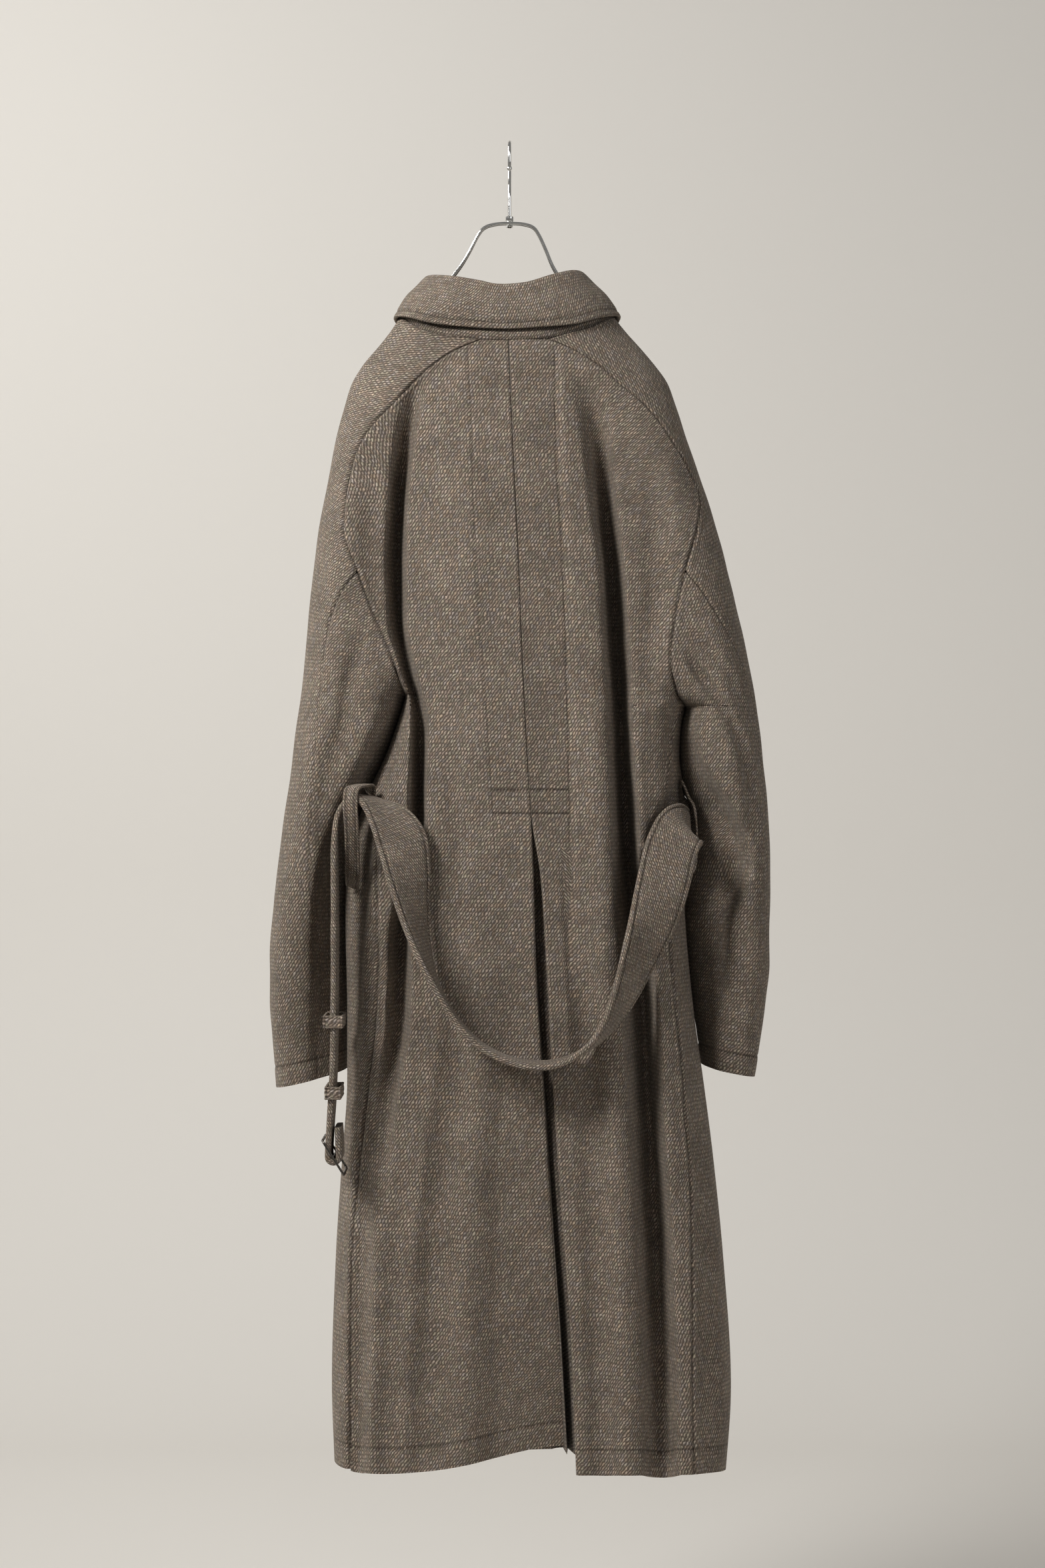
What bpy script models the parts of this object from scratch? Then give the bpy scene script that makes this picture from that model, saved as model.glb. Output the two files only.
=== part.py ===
"""A belted balmacaan coat hanging from a double-wire hanger, back towards -Y.

Every cloth piece is a closed wall cut from one family of level lines: above the underarm one line runs
round sleeves and body together, below it the body and the two sleeves each have their own. The lines
come from short tables of sizes by drop, which is the distance below the inside top of the hook. Sizes
are millimetres until a mesh is made; +X is the wearer's right, -Y the coat's back and +Z up.
"""

import functools
import math

import bmesh
import bpy
import numpy as np
from mathutils import Matrix, Vector

MM = 0.001
SIDES = {"left": -1, "right": 1}

# Cloth
WALL = 3.0                 # thick double-faced wool
SEAM_GAP = 0.3             # between two pieces that are sewn together
UNDERARM = {"left": 579, "right": 591}       # drop of the lowest point of each armhole
ARMHOLE_ROUND = 45         # radius of the armhole's bottom
TURN_BACK = 7.4            # depth of a pressed edge: two walls and the gap between them
SEAM_ALLOWANCE = 10        # width turned back at the centre back seam
PLEAT_RETURN = 42          # width turned back along the pleat
PLEAT_TOP = 705
HEM_DROP = 1380
NECK_BACK = 213            # drop of the neck seam across the back
NECK_FRONT = 258           # drop of the neck seam at the centre front
RAGLAN_FRONT = 222         # drop where the front raglan seam meets the neck
LEVEL_FROM = 300           # rows are level below this drop
LINE_POINTS = 220          # points along one face of a level line
EDGE_REACH = 3.0           # a piece's edge is thickened by the slope this far to each side
FRONT_LAP = 60             # the left front laps over the right by this much
LAP_STEP = 5.6             # and lies this much further out

# Belt
BELT_WIDTH = 56
BELT_THICK = 7.0
BAR_AT = (-178.0, -103.0, 1050.0)            # centre of the buckle's middle bar: x, y, drop
BAR_RADIUS = 1.2
FRAME_LENGTH = 43
FRAME_WIDTH = 66
FRAME_TILT = 32            # degrees from upright, upper end to the wearer's left
LOOP_WIDTH = 15
LOOP_THICK = 3.0

# Hanger
WIRE = 3.0
HOOK_WIRE = 3.5
HOOK_ROUND = 17.0          # radius of the hook's centre line

WOOL = ("wool_tweed", (0.105, 0.080, 0.060), 0.95, 0.0)
CHROME = ("chrome_wire", (0.62, 0.62, 0.60), 0.16, 1.0)
DARK_METAL = ("dark_metal", (0.10, 0.09, 0.08), 0.35, 1.0)


def smooth(xs, ys, at):
    """Read ys between xs along a cubic that never overshoots them."""
    step = np.diff(xs)
    rise = np.diff(ys) / step
    slope = np.empty_like(ys)
    slope[0], slope[-1] = rise[0], rise[-1]
    product = rise[1:] * rise[:-1]
    total = np.where(product > 0, rise[1:] + rise[:-1], 1.0)
    slope[1:-1] = np.where(product > 0, 2 * product / total, 0.0)
    at = np.clip(at, xs[0], xs[-1])
    i = np.clip(np.searchsorted(xs, at) - 1, 0, len(step) - 1)
    t = (at - xs[i]) / step[i]
    ease = t * t * (3 - 2 * t)
    start_pull = t * (1 - t) ** 2 * slope[i] * step[i]
    end_pull = t * t * (t - 1) * slope[i + 1] * step[i]
    return ys[i] * (1 - ease) + ys[i + 1] * ease + start_pull + end_pull


class Table:
    """Sizes with named columns, one row for each drop."""

    def __init__(self, columns, *rows):
        self.names = columns.split()
        self.rows = np.array(rows, float)

    def at(self, name, drop):
        return smooth(self.rows[:, 0], self.rows[:, self.names.index(name)], drop)


def ease(t):
    t = np.clip(t, 0, 1)
    return t * t * (3 - 2 * t)


def cap(t):
    """A quarter of an ellipse: 0 at the tip of a rounded end, 1 where the end's roundness stops."""
    return np.sqrt(1 - (1 - np.clip(t, 0, 1)) ** 2)


# The coat's outermost line: shoulders above, outer edges of the sleeves below.
OUTLINE = Table(
    "drop left right round",
    (176, -110, 106, 60),
    (183, -116, 111, 60),
    (193, -123, 119, 70),
    (213, -138, 136, 88),
    (234, -155, 153, 84),
    (255, -167, 167, 76),
    (276, -173, 175, 68),
    (318, -183, 189, 60),
    (381, -195, 209, 52),
    (465, -208, 233, 48),
    (549, -216, 251, 46),
    (633, -226, 264, 45),
    (717, -237, 272, 44),
    (801, -248, 273, 44),
    (860, -252, 273, 44),
    (900, -252, 269, 44),
    (950, -248, 263, 44),
    (995, -245, 255, 44),
)

# Where the body ends sideways: along the armhole above the underarm, its own side below.
BODY_SIDE = Table(
    "drop left right round_left round_right",
    (183, -100, 100, 15, 35),
    (300, -110, 130, 15, 35),
    (450, -116, 160, 15, 35),
    (545, -119, 166, 15, 35),
    (579, -109, 175, 15, 35),
    (591, -112, 184, 20, 35),
    (610, -118, 180, 26, 36),
    (643, -130, 178, 34, 40),
    (700, -155, 180, 44, 44),
    (750, -169, 181, 50, 48),
    (812, -172, 184, 54, 52),
    (911, -170, 193, 56, 54),
    (982, -170, 203, 56, 54),
    (1060, -175, 213, 56, 54),
    (1169, -182, 224, 56, 54),
    (1299, -186, 232, 56, 54),
    (1390, -183, 226, 56, 54),
)

# The inner end of each sleeve, which passes close beside the body.
SLEEVE_INNER = Table(
    "drop left right round",
    (579, -109.5, 184.5, 30),
    (591, -112.8, 184.5, 30),
    (610, -119, 181, 31),
    (643, -131, 179, 32),
    (700, -156, 194, 34),
    (750, -170, 197, 34),
    (812, -173.2, 185.2, 34),
    (911, -171.8, 194.4, 34),
    (995, -174, 206.5, 34),
)

# Half depths from the middle of the coat: at the centre line, and at the wings beside the armholes.
DEPTH = Table(
    "drop centre_back centre_front wing_back wing_front",
    (176, 52, 40, 46, 38),
    (213, 62, 50, 56, 46),
    (255, 72, 60, 62, 54),
    (318, 82, 70, 68, 60),
    (400, 88, 78, 73, 64),
    (500, 92, 84, 77, 68),
    (600, 95, 88, 79, 70),
    (700, 97, 92, 84, 76),
    (900, 97, 98, 90, 86),
    (1100, 95, 108, 90, 98),
    (1390, 90, 120, 86, 110),
)

# Each sleeve hangs forward below the elbow, its inner end more than its outer end.
SLEEVE = Table(
    "drop back front forward lean",
    (579, 79, 70, 0, 0.0),
    (640, 78, 69, 2, 0.06),
    (700, 76, 68, 5, 0.16),
    (800, 71, 66, 14, 0.34),
    (900, 66, 64, 26, 0.50),
    (995, 63, 62, 38, 0.60),
)

# The pleat's two edges. Above its top they meet in the centre back seam.
PLEAT = Table(
    "drop left right",
    (180, -2, -2),
    (306, 3, 3),
    (429, 9, 9),
    (552, 14, 14),
    (634, 18, 18),
    (705, 22.5, 22.5),
    (767, 25, 32),
    (866, 28, 38.5),
    (1002, 37, 46),
    (1129, 45, 55),
    (1242, 53, 63),
    (1390, 61, 69),
)

CENTRE_FRONT = Table("drop x", (180, 0), (700, 12), (1390, 30))

# Raglan and armhole seams, from the neck out to the upper arm and back in to the underarm.
BACK_SEAM = {
    "left": Table(
        "drop x",
        (213, -30),
        (227, -61),
        (252, -94),
        (275, -116),
        (295, -136),
        (313, -150),
        (340, -162),
        (380, -170),
        (410, -171),
        (453, -156),
        (500, -138),
        (547, -119),
        (579, -109),
    ),
    "right": Table(
        "drop x",
        (213, 40),
        (221, 61),
        (240, 93),
        (256, 111),
        (282, 143),
        (317, 169),
        (345, 186),
        (377, 198),
        (401, 196),
        (453, 181),
        (500, 171),
        (546, 166),
        (578, 173),
        (591, 184),
    ),
}
FRONT_SEAM = {
    "left": Table(
        "drop x",
        (222, -62),
        (240, -86),
        (265, -112),
        (300, -138),
        (340, -156),
        (400, -168),
        (453, -160),
        (500, -142),
        (547, -122),
        (579, -109),
    ),
    "right": Table(
        "drop x",
        (222, 60),
        (240, 84),
        (265, 110),
        (300, 137),
        (340, 158),
        (400, 184),
        (453, 184),
        (500, 176),
        (546, 172),
        (591, 184),
    ),
}

# The two seams between the outer sleeve and the undersleeve, which start on the armhole at this drop.
SLEEVE_SPLIT = 453
SLEEVE_SEAM = {
    ("left", "back"): Table(
        "drop x", (453, -156), (475, -174), (500, -184), (547, -193), (640, -200), (760, -206), (850, -198), (995, -202)
    ),
    ("left", "front"): Table("drop x", (453, -160), (500, -182), (579, -194), (700, -204), (995, -214)),
    ("right", "back"): Table(
        "drop x", (453, 181), (475, 200), (492, 211), (523, 229), (560, 245), (620, 258), (700, 266), (860, 268), (995, 250)
    ),
    ("right", "front"): Table("drop x", (453, 184), (500, 205), (591, 232), (700, 242), (995, 236)),
}
SIDE_SEAM = {
    "left": Table("drop x", (579, -109), (610, -114), (700, -140), (760, -137), (845, -135), (934, -140), (1034, -151),
                  (1170, -163), (1390, -164)),
    "right": Table("drop x", (591, 184), (610, 172), (643, 167), (700, 160), (825, 165), (889, 170), (992, 179),
                   (1100, 187), (1390, 190)),
}

# The neck seam: how far out it lies at each drop, on the coat's back and on its front.
NECKLINE = {
    ("left", "back"): Table("drop x", (183, -116), (188, -110), (194, -103), (200, -92), (207, -73), (213, -30)),
    ("left", "front"): Table("drop x", (183, -116), (190, -113), (198, -106), (207, -94), (215, -80), (222, -62),
                             (230, -48), (240, -32), (250, -18), (258, 0)),
    ("right", "back"): Table("drop x", (183, 111), (188, 102), (194, 92), (200, 80), (207, 58), (213, 40)),
    ("right", "front"): Table("drop x", (183, 111), (190, 108), (198, 101), (207, 90), (215, 76), (222, 60),
                              (230, 48), (240, 32), (250, 18), (258, 0)),
}


class Fold:
    """A trough in one face: where it runs, how deep it is, and how wide towards and away from the centre."""

    def __init__(self, side, face, on, *rows):
        self.side, self.face, self.on = side, face, on
        self.table = Table("drop x deep towards away", *rows)

    def read(self, drop):
        first, last = self.table.rows[0, 0], self.table.rows[-1, 0]
        if not first <= drop <= last:
            return 0.0, 0.0, 1.0, 1.0
        return tuple(self.table.at(name, drop) for name in ("x", "deep", "towards", "away"))


BODY_LINES = ("coat", "body")
FOLDS = {
    "left groove": Fold(
        "left", "back", BODY_LINES,
        (252, -93, 0, 16, 18), (305, -104, 22, 14, 16), (384, -113, 44, 12, 14), (447, -115, 46, 12, 14),
        (500, -112, 40, 12, 12), (547, -98, 30, 12, 9), (579, -89, 32, 12, 9), (620, -90, 42, 11, 12),
        (703, -92, 46, 10, 14), (760, -99, 42, 10, 14), (831, -110, 40, 11, 14), (910, -112, 34, 13, 14),
        (1000, -126, 12, 15, 14), (1060, -134, 0, 15, 14),
    ),
    "right groove": Fold(
        "right", "back", BODY_LINES,
        (252, 79, 0, 24, 20), (305, 91, 18, 22, 18), (400, 102, 44, 20, 14), (463, 108, 52, 18, 14),
        (541, 113, 56, 18, 14), (643, 118, 58, 18, 14), (765, 125, 60, 20, 15), (907, 140, 60, 26, 17),
        (1027, 146, 58, 26, 18), (1155, 153, 52, 26, 18), (1282, 157, 36, 26, 18), (1390, 159, 20, 26, 18),
    ),
    "belt fold": Fold(
        "right", "back", ("body",),
        (650, 176, 0, 12, 30), (680, 170, 30, 12, 30), (706, 160, 38, 12, 30), (734, 148, 34, 12, 26),
        (765, 140, 22, 12, 22), (800, 136, 0, 12, 20),
    ),
    "left side shelf": Fold(
        "left", "back", ("body",),
        (640, -140, 0, 10, 300), (700, -148, 20, 10, 300), (760, -150, 30, 10, 300), (830, -156, 28, 10, 300),
        (910, -161, 20, 10, 300), (1000, -168, 0, 10, 300),
    ),
    "left pleat recess": Fold(
        "left", "back", ("body",),
        (760, 26, 0, 40, 120), (1002, 37, 10, 40, 130), (1242, 53, 28, 40, 150), (1390, 61, 42, 40, 165),
    ),
    "left sleeve shelf": Fold(
        "left", "back", ("sleeve",),
        (600, -114, 0, 300, 20), (667, -148, 22, 300, 24), (700, -163, 31, 300, 27), (741, -180, 35, 300, 31),
        (775, -190, 35, 300, 32), (831, -195, 32, 300, 32), (900, -196, 20, 300, 30), (995, -198, 4, 300, 26),
    ),
    "right sleeve shelf": Fold(
        "right", "back", ("sleeve",),
        (615, 184, 0, 300, 12), (649, 190, 24, 300, 14), (696, 216, 40, 300, 18), (748, 234, 42, 300, 22),
        (827, 212, 34, 300, 22), (900, 209, 20, 300, 22), (995, 206, 6, 300, 20),
    ),
    "left front groove": Fold(
        "left", "front", BODY_LINES,
        (280, -84, 0, 24, 24), (400, -88, 20, 20, 20), (579, -76, 22, 20, 16), (900, -96, 30, 22, 22),
        (1200, -112, 26, 26, 26), (1390, -118, 22, 28, 28),
    ),
    "right front groove": Fold(
        "right", "front", BODY_LINES,
        (300, 112, 0, 18, 18), (430, 118, 16, 18, 18), (640, 122, 22, 18, 18), (940, 136, 28, 20, 20),
        (1240, 152, 26, 22, 22), (1390, 158, 20, 24, 24),
    ),
}
DEEPEST = 0.78              # no fold takes more of the half depth than this


def fold_depth(side, face, line, x, drop):
    sign = SIDES[side]
    depth = np.zeros_like(x)
    for fold in FOLDS.values():
        if fold.side == side and fold.face == face and line in fold.on:
            at, deep, towards, away = fold.read(drop)
            out = sign * (x - at)
            t = np.abs(out) / np.where(out > 0, away, towards)
            depth += deep * np.clip(1 - t * t, 0, 1) ** 2
    return depth


def armhole_pinch(side, face, x, drop):
    """How far the two faces are kept apart above the underarm: they close in to meet at its lowest point."""
    above = UNDERARM[side] - drop
    if above >= ARMHOLE_ROUND:
        return 1.0
    open_here = cap(above / ARMHOLE_ROUND)
    seam = BACK_SEAM if face == "back" else FRONT_SEAM
    out = SIDES[side] * (x - seam[side].at("x", drop))
    rounding = np.where(out > 0, SLEEVE_INNER.rows[0, 3], BODY_SIDE.at("round_" + side, UNDERARM[side]))
    return open_here + (1 - open_here) * cap(np.abs(out) / rounding)


def face_line(side, face, line, x, drop):
    """The y of one face of the coat at each x of a level line. A lapped front follows the other side's shape."""
    if face == "front" and line != "sleeve":
        beyond = SIDES[side] * (x - CENTRE_FRONT.at("x", drop)) < 0
        other = "right" if side == "left" else "left"
        return np.where(beyond, half_face(other, face, line, x, drop), half_face(side, face, line, x, drop))
    return half_face(side, face, line, x, drop)


def half_face(side, face, line, x, drop):
    sign = SIDES[side]
    outward = -1 if face == "back" else 1
    if line == "sleeve":
        outer, inner = OUTLINE.at(side, drop), SLEEVE_INNER.at(side, drop)
        half = SLEEVE.at(face, drop) - fold_depth(side, face, line, x, drop)
        half = np.maximum(half, SLEEVE.at(face, drop) * (1 - DEEPEST))
        from_outer = sign * (outer - x)
        ends = cap(from_outer / OUTLINE.at("round", drop)) * cap(sign * (x - inner) / SLEEVE_INNER.at("round", drop))
        width = abs(outer - inner)
        middle = SLEEVE.at("forward", drop) + SLEEVE.at("lean", drop) * (from_outer - width / 2)
        return middle + outward * half * ends
    centre = PLEAT.at(side, drop) if face == "back" else CENTRE_FRONT.at("x", drop)
    body_side = BODY_SIDE.at(side, drop)
    towards_side = ease((np.abs(x - centre) / abs(body_side - centre) - 0.3) / 0.7)
    middle_depth, wing = DEPTH.at("centre_" + face, drop), DEPTH.at("wing_" + face, drop)
    full = middle_depth + (wing - middle_depth) * towards_side
    half = np.maximum(full - fold_depth(side, face, line, x, drop), full * (1 - DEEPEST))
    if line == "coat":
        ends = cap(sign * (OUTLINE.at(side, drop) - x) / OUTLINE.at("round", drop))
        ends = ends * armhole_pinch(side, face, x, drop)
    else:
        ends = cap(sign * (body_side - x) / BODY_SIDE.at("round_" + side, drop))
    return outward * half * ends


class Line:
    """A level line of the coat: outer points, the wall's inner points, and the length along it."""

    def __init__(self, points, facing, faces):
        self.outer = points
        self.facing = facing
        step = np.diff(points, axis=0)
        size = np.maximum(np.linalg.norm(step, axis=1), 1e-9)
        normal = facing * np.column_stack((-step[:, 1], step[:, 0])) / size[:, None]
        before = np.vstack((normal[:1], normal))
        after = np.vstack((normal, normal[-1:]))
        share = 1 + np.sum(before * after, axis=1)
        miter = (before + after) / np.maximum(share, 0.9)[:, None]
        self.inner = points - WALL * miter
        self.length = np.concatenate(([0.0], np.cumsum(size)))
        self.faces = faces

    def at(self, face, x):
        """The length along the line where one face reaches x."""
        start, end = self.faces[face]
        xs, lengths = self.outer[start:end, 0], self.length[start:end]
        order = 1 if xs[-1] > xs[0] else -1
        return float(np.interp(x, xs[::order], lengths[::order]))

    def point(self, length):
        return np.array([np.interp(length, self.length, self.outer[:, k]) for k in (0, 1)])

    def behind(self, length):
        """The wall's inner side at this length."""
        return np.array([np.interp(length, self.length, self.inner[:, k]) for k in (0, 1)])

    def behind_edge(self, length, into):
        """The same at the edge of a piece lying towards into. Across a ridge both pieces share one normal; in a
        valley each keeps its own, so that their walls stay apart."""
        here = self.point(length)
        normals = []
        for way in (into, -into):
            there = self.point(length + way * EDGE_REACH)
            along = (there - here) * way
            size = np.linalg.norm(along)
            if size < 0.5:
                return self.behind(length)
            normals.append(self.facing * np.array((-along[1], along[0])) / size)
        own, other = normals
        turn = np.dot(own - other, self.point(length + into * EDGE_REACH) - here)
        if turn > 0:
            return here - WALL * (own + other) / max(1 + np.dot(own, other), 0.9)
        return here - WALL * own


def face_points(side, face, line, start, end, drop):
    """Points from start to end, closer together towards the rounded end and across the armhole seam."""
    turn = np.linspace(0, math.pi / 2, LINE_POINTS)
    x = start + (end - start) * np.sin(turn)
    if line == "coat":
        seam = (BACK_SEAM if face == "back" else FRONT_SEAM)[side].at("x", drop)
        near = seam + np.array([-0.8, -0.4, -0.15, -0.04, 0, 0.04, 0.15, 0.4, 0.8])
        x = np.sort(np.concatenate((x, near[(near - start) * (near - end) < 0])))
        x = x if end > start else x[::-1]
    return np.column_stack((x, face_line(side, face, line, x, drop)))


def turned_edge(side, drop):
    """The edge turned back inside along the centre back seam and the pleat, from its raw edge out."""
    sign = SIDES[side]
    edge = PLEAT.at(side, drop) + sign * SEAM_GAP / 2
    width = SEAM_ALLOWANCE + (PLEAT_RETURN - SEAM_ALLOWANCE) * ease((drop - PLEAT_TOP) / 60)
    line = "coat" if drop < UNDERARM[side] else "body"
    xs = edge + sign * width * np.array([1, 0.66, 0.33, 0])
    ys = face_line(side, "back", line, xs, drop) + TURN_BACK
    return np.column_stack((xs, ys)), edge


def lap_under(side, points, drop):
    """The right front passes under the left one, so its last stretch lies further in."""
    if side == "right":
        x, centre = points[:, 0], CENTRE_FRONT.at("x", drop)
        points[:, 1] -= LAP_STEP * ease((centre + FRONT_LAP + 14 - x) / 10)
    return points


@functools.lru_cache(maxsize=None)
def half_line(side, line, drop):
    """Half a level line, from the centre back round the side to the centre front."""
    end = OUTLINE.at(side, drop) if line == "coat" else BODY_SIDE.at(side, drop)
    turned, edge = turned_edge(side, drop)
    back = face_points(side, "back", line, edge, end, drop)
    lap_edge = CENTRE_FRONT.at("x", drop) + (FRONT_LAP if side == "left" else -FRONT_LAP / 2)
    front = face_points(side, "front", line, lap_edge, end, drop)
    front = lap_under(side, front, drop)
    points = np.vstack((turned, back, front[-2::-1]))
    first = len(turned)
    faces = {"back": (first, first + len(back)), "front": (first + len(back) - 1, len(points))}
    return Line(points, -SIDES[side], faces)


@functools.lru_cache(maxsize=None)
def sleeve_line(side, drop):
    """A sleeve's own level line, from its inner end along the back, round the outside and home."""
    outer, inner = OUTLINE.at(side, drop), SLEEVE_INNER.at(side, drop)
    middle = (outer + inner) / 2
    pieces = []
    for face, start, end in (("back", inner, middle), ("back", outer, middle), ("front", outer, middle),
                             ("front", inner, middle)):
        turn = np.linspace(0, math.pi / 2, LINE_POINTS // 2)
        x = start + (end - start) * (1 - np.cos(turn))
        run = np.column_stack((x, face_line(side, face, "sleeve", x, drop)))
        pieces.append(run if len(pieces) % 2 == 0 else run[::-1])
    points = np.vstack((pieces[0], pieces[1][1:], pieces[2][1:], pieces[3][1:]))
    half = len(pieces[0]) + len(pieces[1]) - 1
    return Line(points, -SIDES[side], {"back": (0, half), "front": (half - 1, len(points))})


def cloth_line(side, drop):
    return half_line(side, "coat" if drop < UNDERARM[side] else "body", drop)


def arm_line(side, drop):
    return half_line(side, "coat", drop) if drop < UNDERARM[side] else sleeve_line(side, drop)


# A piece's columns: the share of its width at which each one runs. Folds keep five columns to themselves.
GROOVE_STEPS = (-1.0, -0.45, 0.0, 0.45, 1.0)


def fold_stations(name, line, drop):
    fold = FOLDS[name]
    at, _, towards, away = (fold.table.at(column, drop) for column in ("x", "deep", "towards", "away"))
    sign = SIDES[fold.side]
    return [line.at(fold.face, at + sign * step * (away if step > 0 else towards)) for step in GROOVE_STEPS]


def settle(lengths, low, high):
    """Keep stations in order, a little apart, between the piece's two edges."""
    count = len(lengths)
    apart = min(1.5, (high - low) / (count + 2))
    kept = []
    for i, value in enumerate(lengths):
        floor = (kept[-1] if kept else low) + apart
        kept.append(min(max(value, floor), high - apart * (count - i)))
    return kept


def back_columns(side, drop):
    """Lengths along the line: raw edge, the turned edge's two corners, the groove, the outer seam."""
    line = cloth_line(side, drop)
    corner = line.faces["back"][0]
    low = line.length[corner]
    seam = BACK_SEAM[side] if drop < UNDERARM[side] else SIDE_SEAM[side]
    if drop == UNDERARM[side]:
        high = line.length[line.faces["back"][1] - 1]
    else:
        high = line.at("back", seam.at("x", drop))
    high -= SEAM_GAP / 2
    start = low + 4.5
    groove = settle(fold_stations(side + " groove", line, drop), start + 2, high)
    even = list(np.linspace(start, high, len(groove) + 6)[5:-1])
    blend = ease((drop - 262) / 60)
    inside = [e + (g - e) * blend for e, g in zip(even, groove)]
    inside = [start + (inside[0] - start) * share for share in (0, 0.12, 0.28, 0.5, 0.75)] + inside
    beyond = [inside[-1] + (high - inside[-1]) * share for share in (0.35, 0.7)]
    return line, list(line.length[:corner]) + [low] + inside + beyond + [high]


def front_columns(side, drop):
    """Lengths along the line from the outer seam round to the front edge."""
    line = cloth_line(side, drop)
    if drop < UNDERARM[side]:
        low = line.at("front", FRONT_SEAM[side].at("x", drop))
    elif drop == UNDERARM[side]:
        low = line.length[line.faces["back"][1] - 1]
    else:
        low = line.at("back", SIDE_SEAM[side].at("x", drop))
    low += SEAM_GAP / 2
    high = line.length[-1]
    groove = settle(fold_stations(side + " front groove", line, drop)[::-1], low + 2, high)
    before = [low + (groove[0] - low) * share for share in (0.22, 0.47, 0.74)]
    if side == "right":
        under = CENTRE_FRONT.at("x", drop) + FRONT_LAP
        after = settle([line.at("front", under + 14), line.at("front", under + 4)], groove[-1], high)
    else:
        after = [groove[-1] + (high - groove[-1]) * share for share in (0.3, 0.6)]
    after.append((after[-1] + high) / 2)
    return line, [low] + before + groove + after + [high]


FRONT_COLUMNS = 13
SLEEVE_SHARES = (0, 0.14, 0.27, 0.37, 0.45, 0.5, 0.55, 0.63, 0.73, 0.86, 1)
NECK_SHARES = np.array([0, 0.1, 0.2, 0.3, 0.4, 0.5, 0.6, 0.7, 0.8, 0.9, 1])
NECK_DROPS = np.array([213, 211, 207, 200, 191, 183, 191, 200, 209, 216, 222], float)
HALF_NECK = len(NECK_SHARES) // 2


@functools.lru_cache(maxsize=None)
def centre_share(side):
    """The share of a front's width at which its columns reach the centre front, at the neck."""
    line, columns = front_columns(side, NECK_FRONT)
    return (line.at("front", CENTRE_FRONT.at("x", NECK_FRONT)) - columns[0]) / (columns[-1] - columns[0])


def front_top(side, share):
    """The front's neck edge falls from the raglan seam to the centre front and is level across the lap."""
    reach = min(share / centre_share(side), 1.0)
    return RAGLAN_FRONT + (NECK_FRONT - RAGLAN_FRONT) * reach ** 0.8


def front_point(side, share, drop):
    line, columns = front_columns(side, drop)
    shares = np.linspace(0, 1, FRONT_COLUMNS)
    fitted = float(np.interp(share, shares, columns))
    if drop >= LEVEL_FROM:
        return line, fitted
    low, high = columns[0], columns[-1]
    if drop < NECK_FRONT:
        high = line.at("front", NECKLINE[side, "front"].at("x", drop))
        reach = ((drop - RAGLAN_FRONT) / (NECK_FRONT - RAGLAN_FRONT)) ** 1.25
        return line, low + (high - low) * min(share / centre_share(side) / reach, 1.0)
    even = low + (high - low) * share
    blend = ease((drop - NECK_FRONT) / (LEVEL_FROM - NECK_FRONT))
    return line, even + (fitted - even) * blend


def sleeve_edges(side, drop):
    """Where the outer sleeve starts on the back and ends on the front."""
    line = arm_line(side, drop)
    edges = []
    for face, seams in (("back", BACK_SEAM), ("front", FRONT_SEAM)):
        top = NECK_BACK if face == "back" else RAGLAN_FRONT
        if drop < top:
            x = NECKLINE[side, face].at("x", drop)
        elif drop < SLEEVE_SPLIT:
            x = seams[side].at("x", drop)
        else:
            x = SLEEVE_SEAM[side, face].at("x", drop)
        edges.append(line.at(face, x))
    return line, edges[0] + SEAM_GAP / 2, edges[1] - SEAM_GAP / 2


def sleeve_point(side, share, drop):
    line, low, high = sleeve_edges(side, drop)
    outer = line.length[line.faces["back"][1] - 1]
    start, end = 0.0, 1.0
    if drop < NECK_BACK:
        start = float(np.interp(-drop, -NECK_DROPS[: HALF_NECK + 1], NECK_SHARES[: HALF_NECK + 1]))
    if drop < RAGLAN_FRONT:
        end = float(np.interp(drop, NECK_DROPS[HALF_NECK:], NECK_SHARES[HALF_NECK:]))
    if share <= 0.5:
        part = (share - start) / max(0.5 - start, 1e-6)
        return line, low + (outer - low) * min(max(part, 0), 1)
    part = (share - 0.5) / max(end - 0.5, 1e-6)
    return line, outer + (high - outer) * min(max(part, 0), 1)


def armhole_drops(side, rows):
    """The drops at which the undersleeve's columns start: down the front seam, up the back seam."""
    down = [row for row in rows if SLEEVE_SPLIT <= row <= UNDERARM[side]]
    return np.array(down + down[-2::-1], float)


def undersleeve_point(side, share, drop, tops):
    shares = np.linspace(0, 1, len(tops))
    half = len(tops) // 2
    if drop >= UNDERARM[side]:
        line = sleeve_line(side, drop)
        front = line.at("front", SLEEVE_SEAM[side, "front"].at("x", drop)) + SEAM_GAP / 2
        back = line.at("back", SLEEVE_SEAM[side, "back"].at("x", drop)) - SEAM_GAP / 2
        if share < 0.5:
            return line, front + (line.length[-1] - front) * share * 2
        return line, back * (share - 0.5) * 2
    line = half_line(side, "coat", drop)
    if share < 0.5:
        start = line.at("front", SLEEVE_SEAM[side, "front"].at("x", drop)) + SEAM_GAP / 2
        end = line.at("front", FRONT_SEAM[side].at("x", drop)) - SEAM_GAP / 2
        reach = float(np.interp(drop, tops[: half + 1], shares[: half + 1]))
        return line, start + (end - start) * share / max(reach, 1e-6)
    start = line.at("back", SLEEVE_SEAM[side, "back"].at("x", drop)) - SEAM_GAP / 2
    end = line.at("back", BACK_SEAM[side].at("x", drop)) + SEAM_GAP / 2
    reach = float(np.interp(drop, tops[: half + 1], shares[: half + 1]))
    return line, start + (end - start) * (1 - share) / max(reach, 1e-6)


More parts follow.
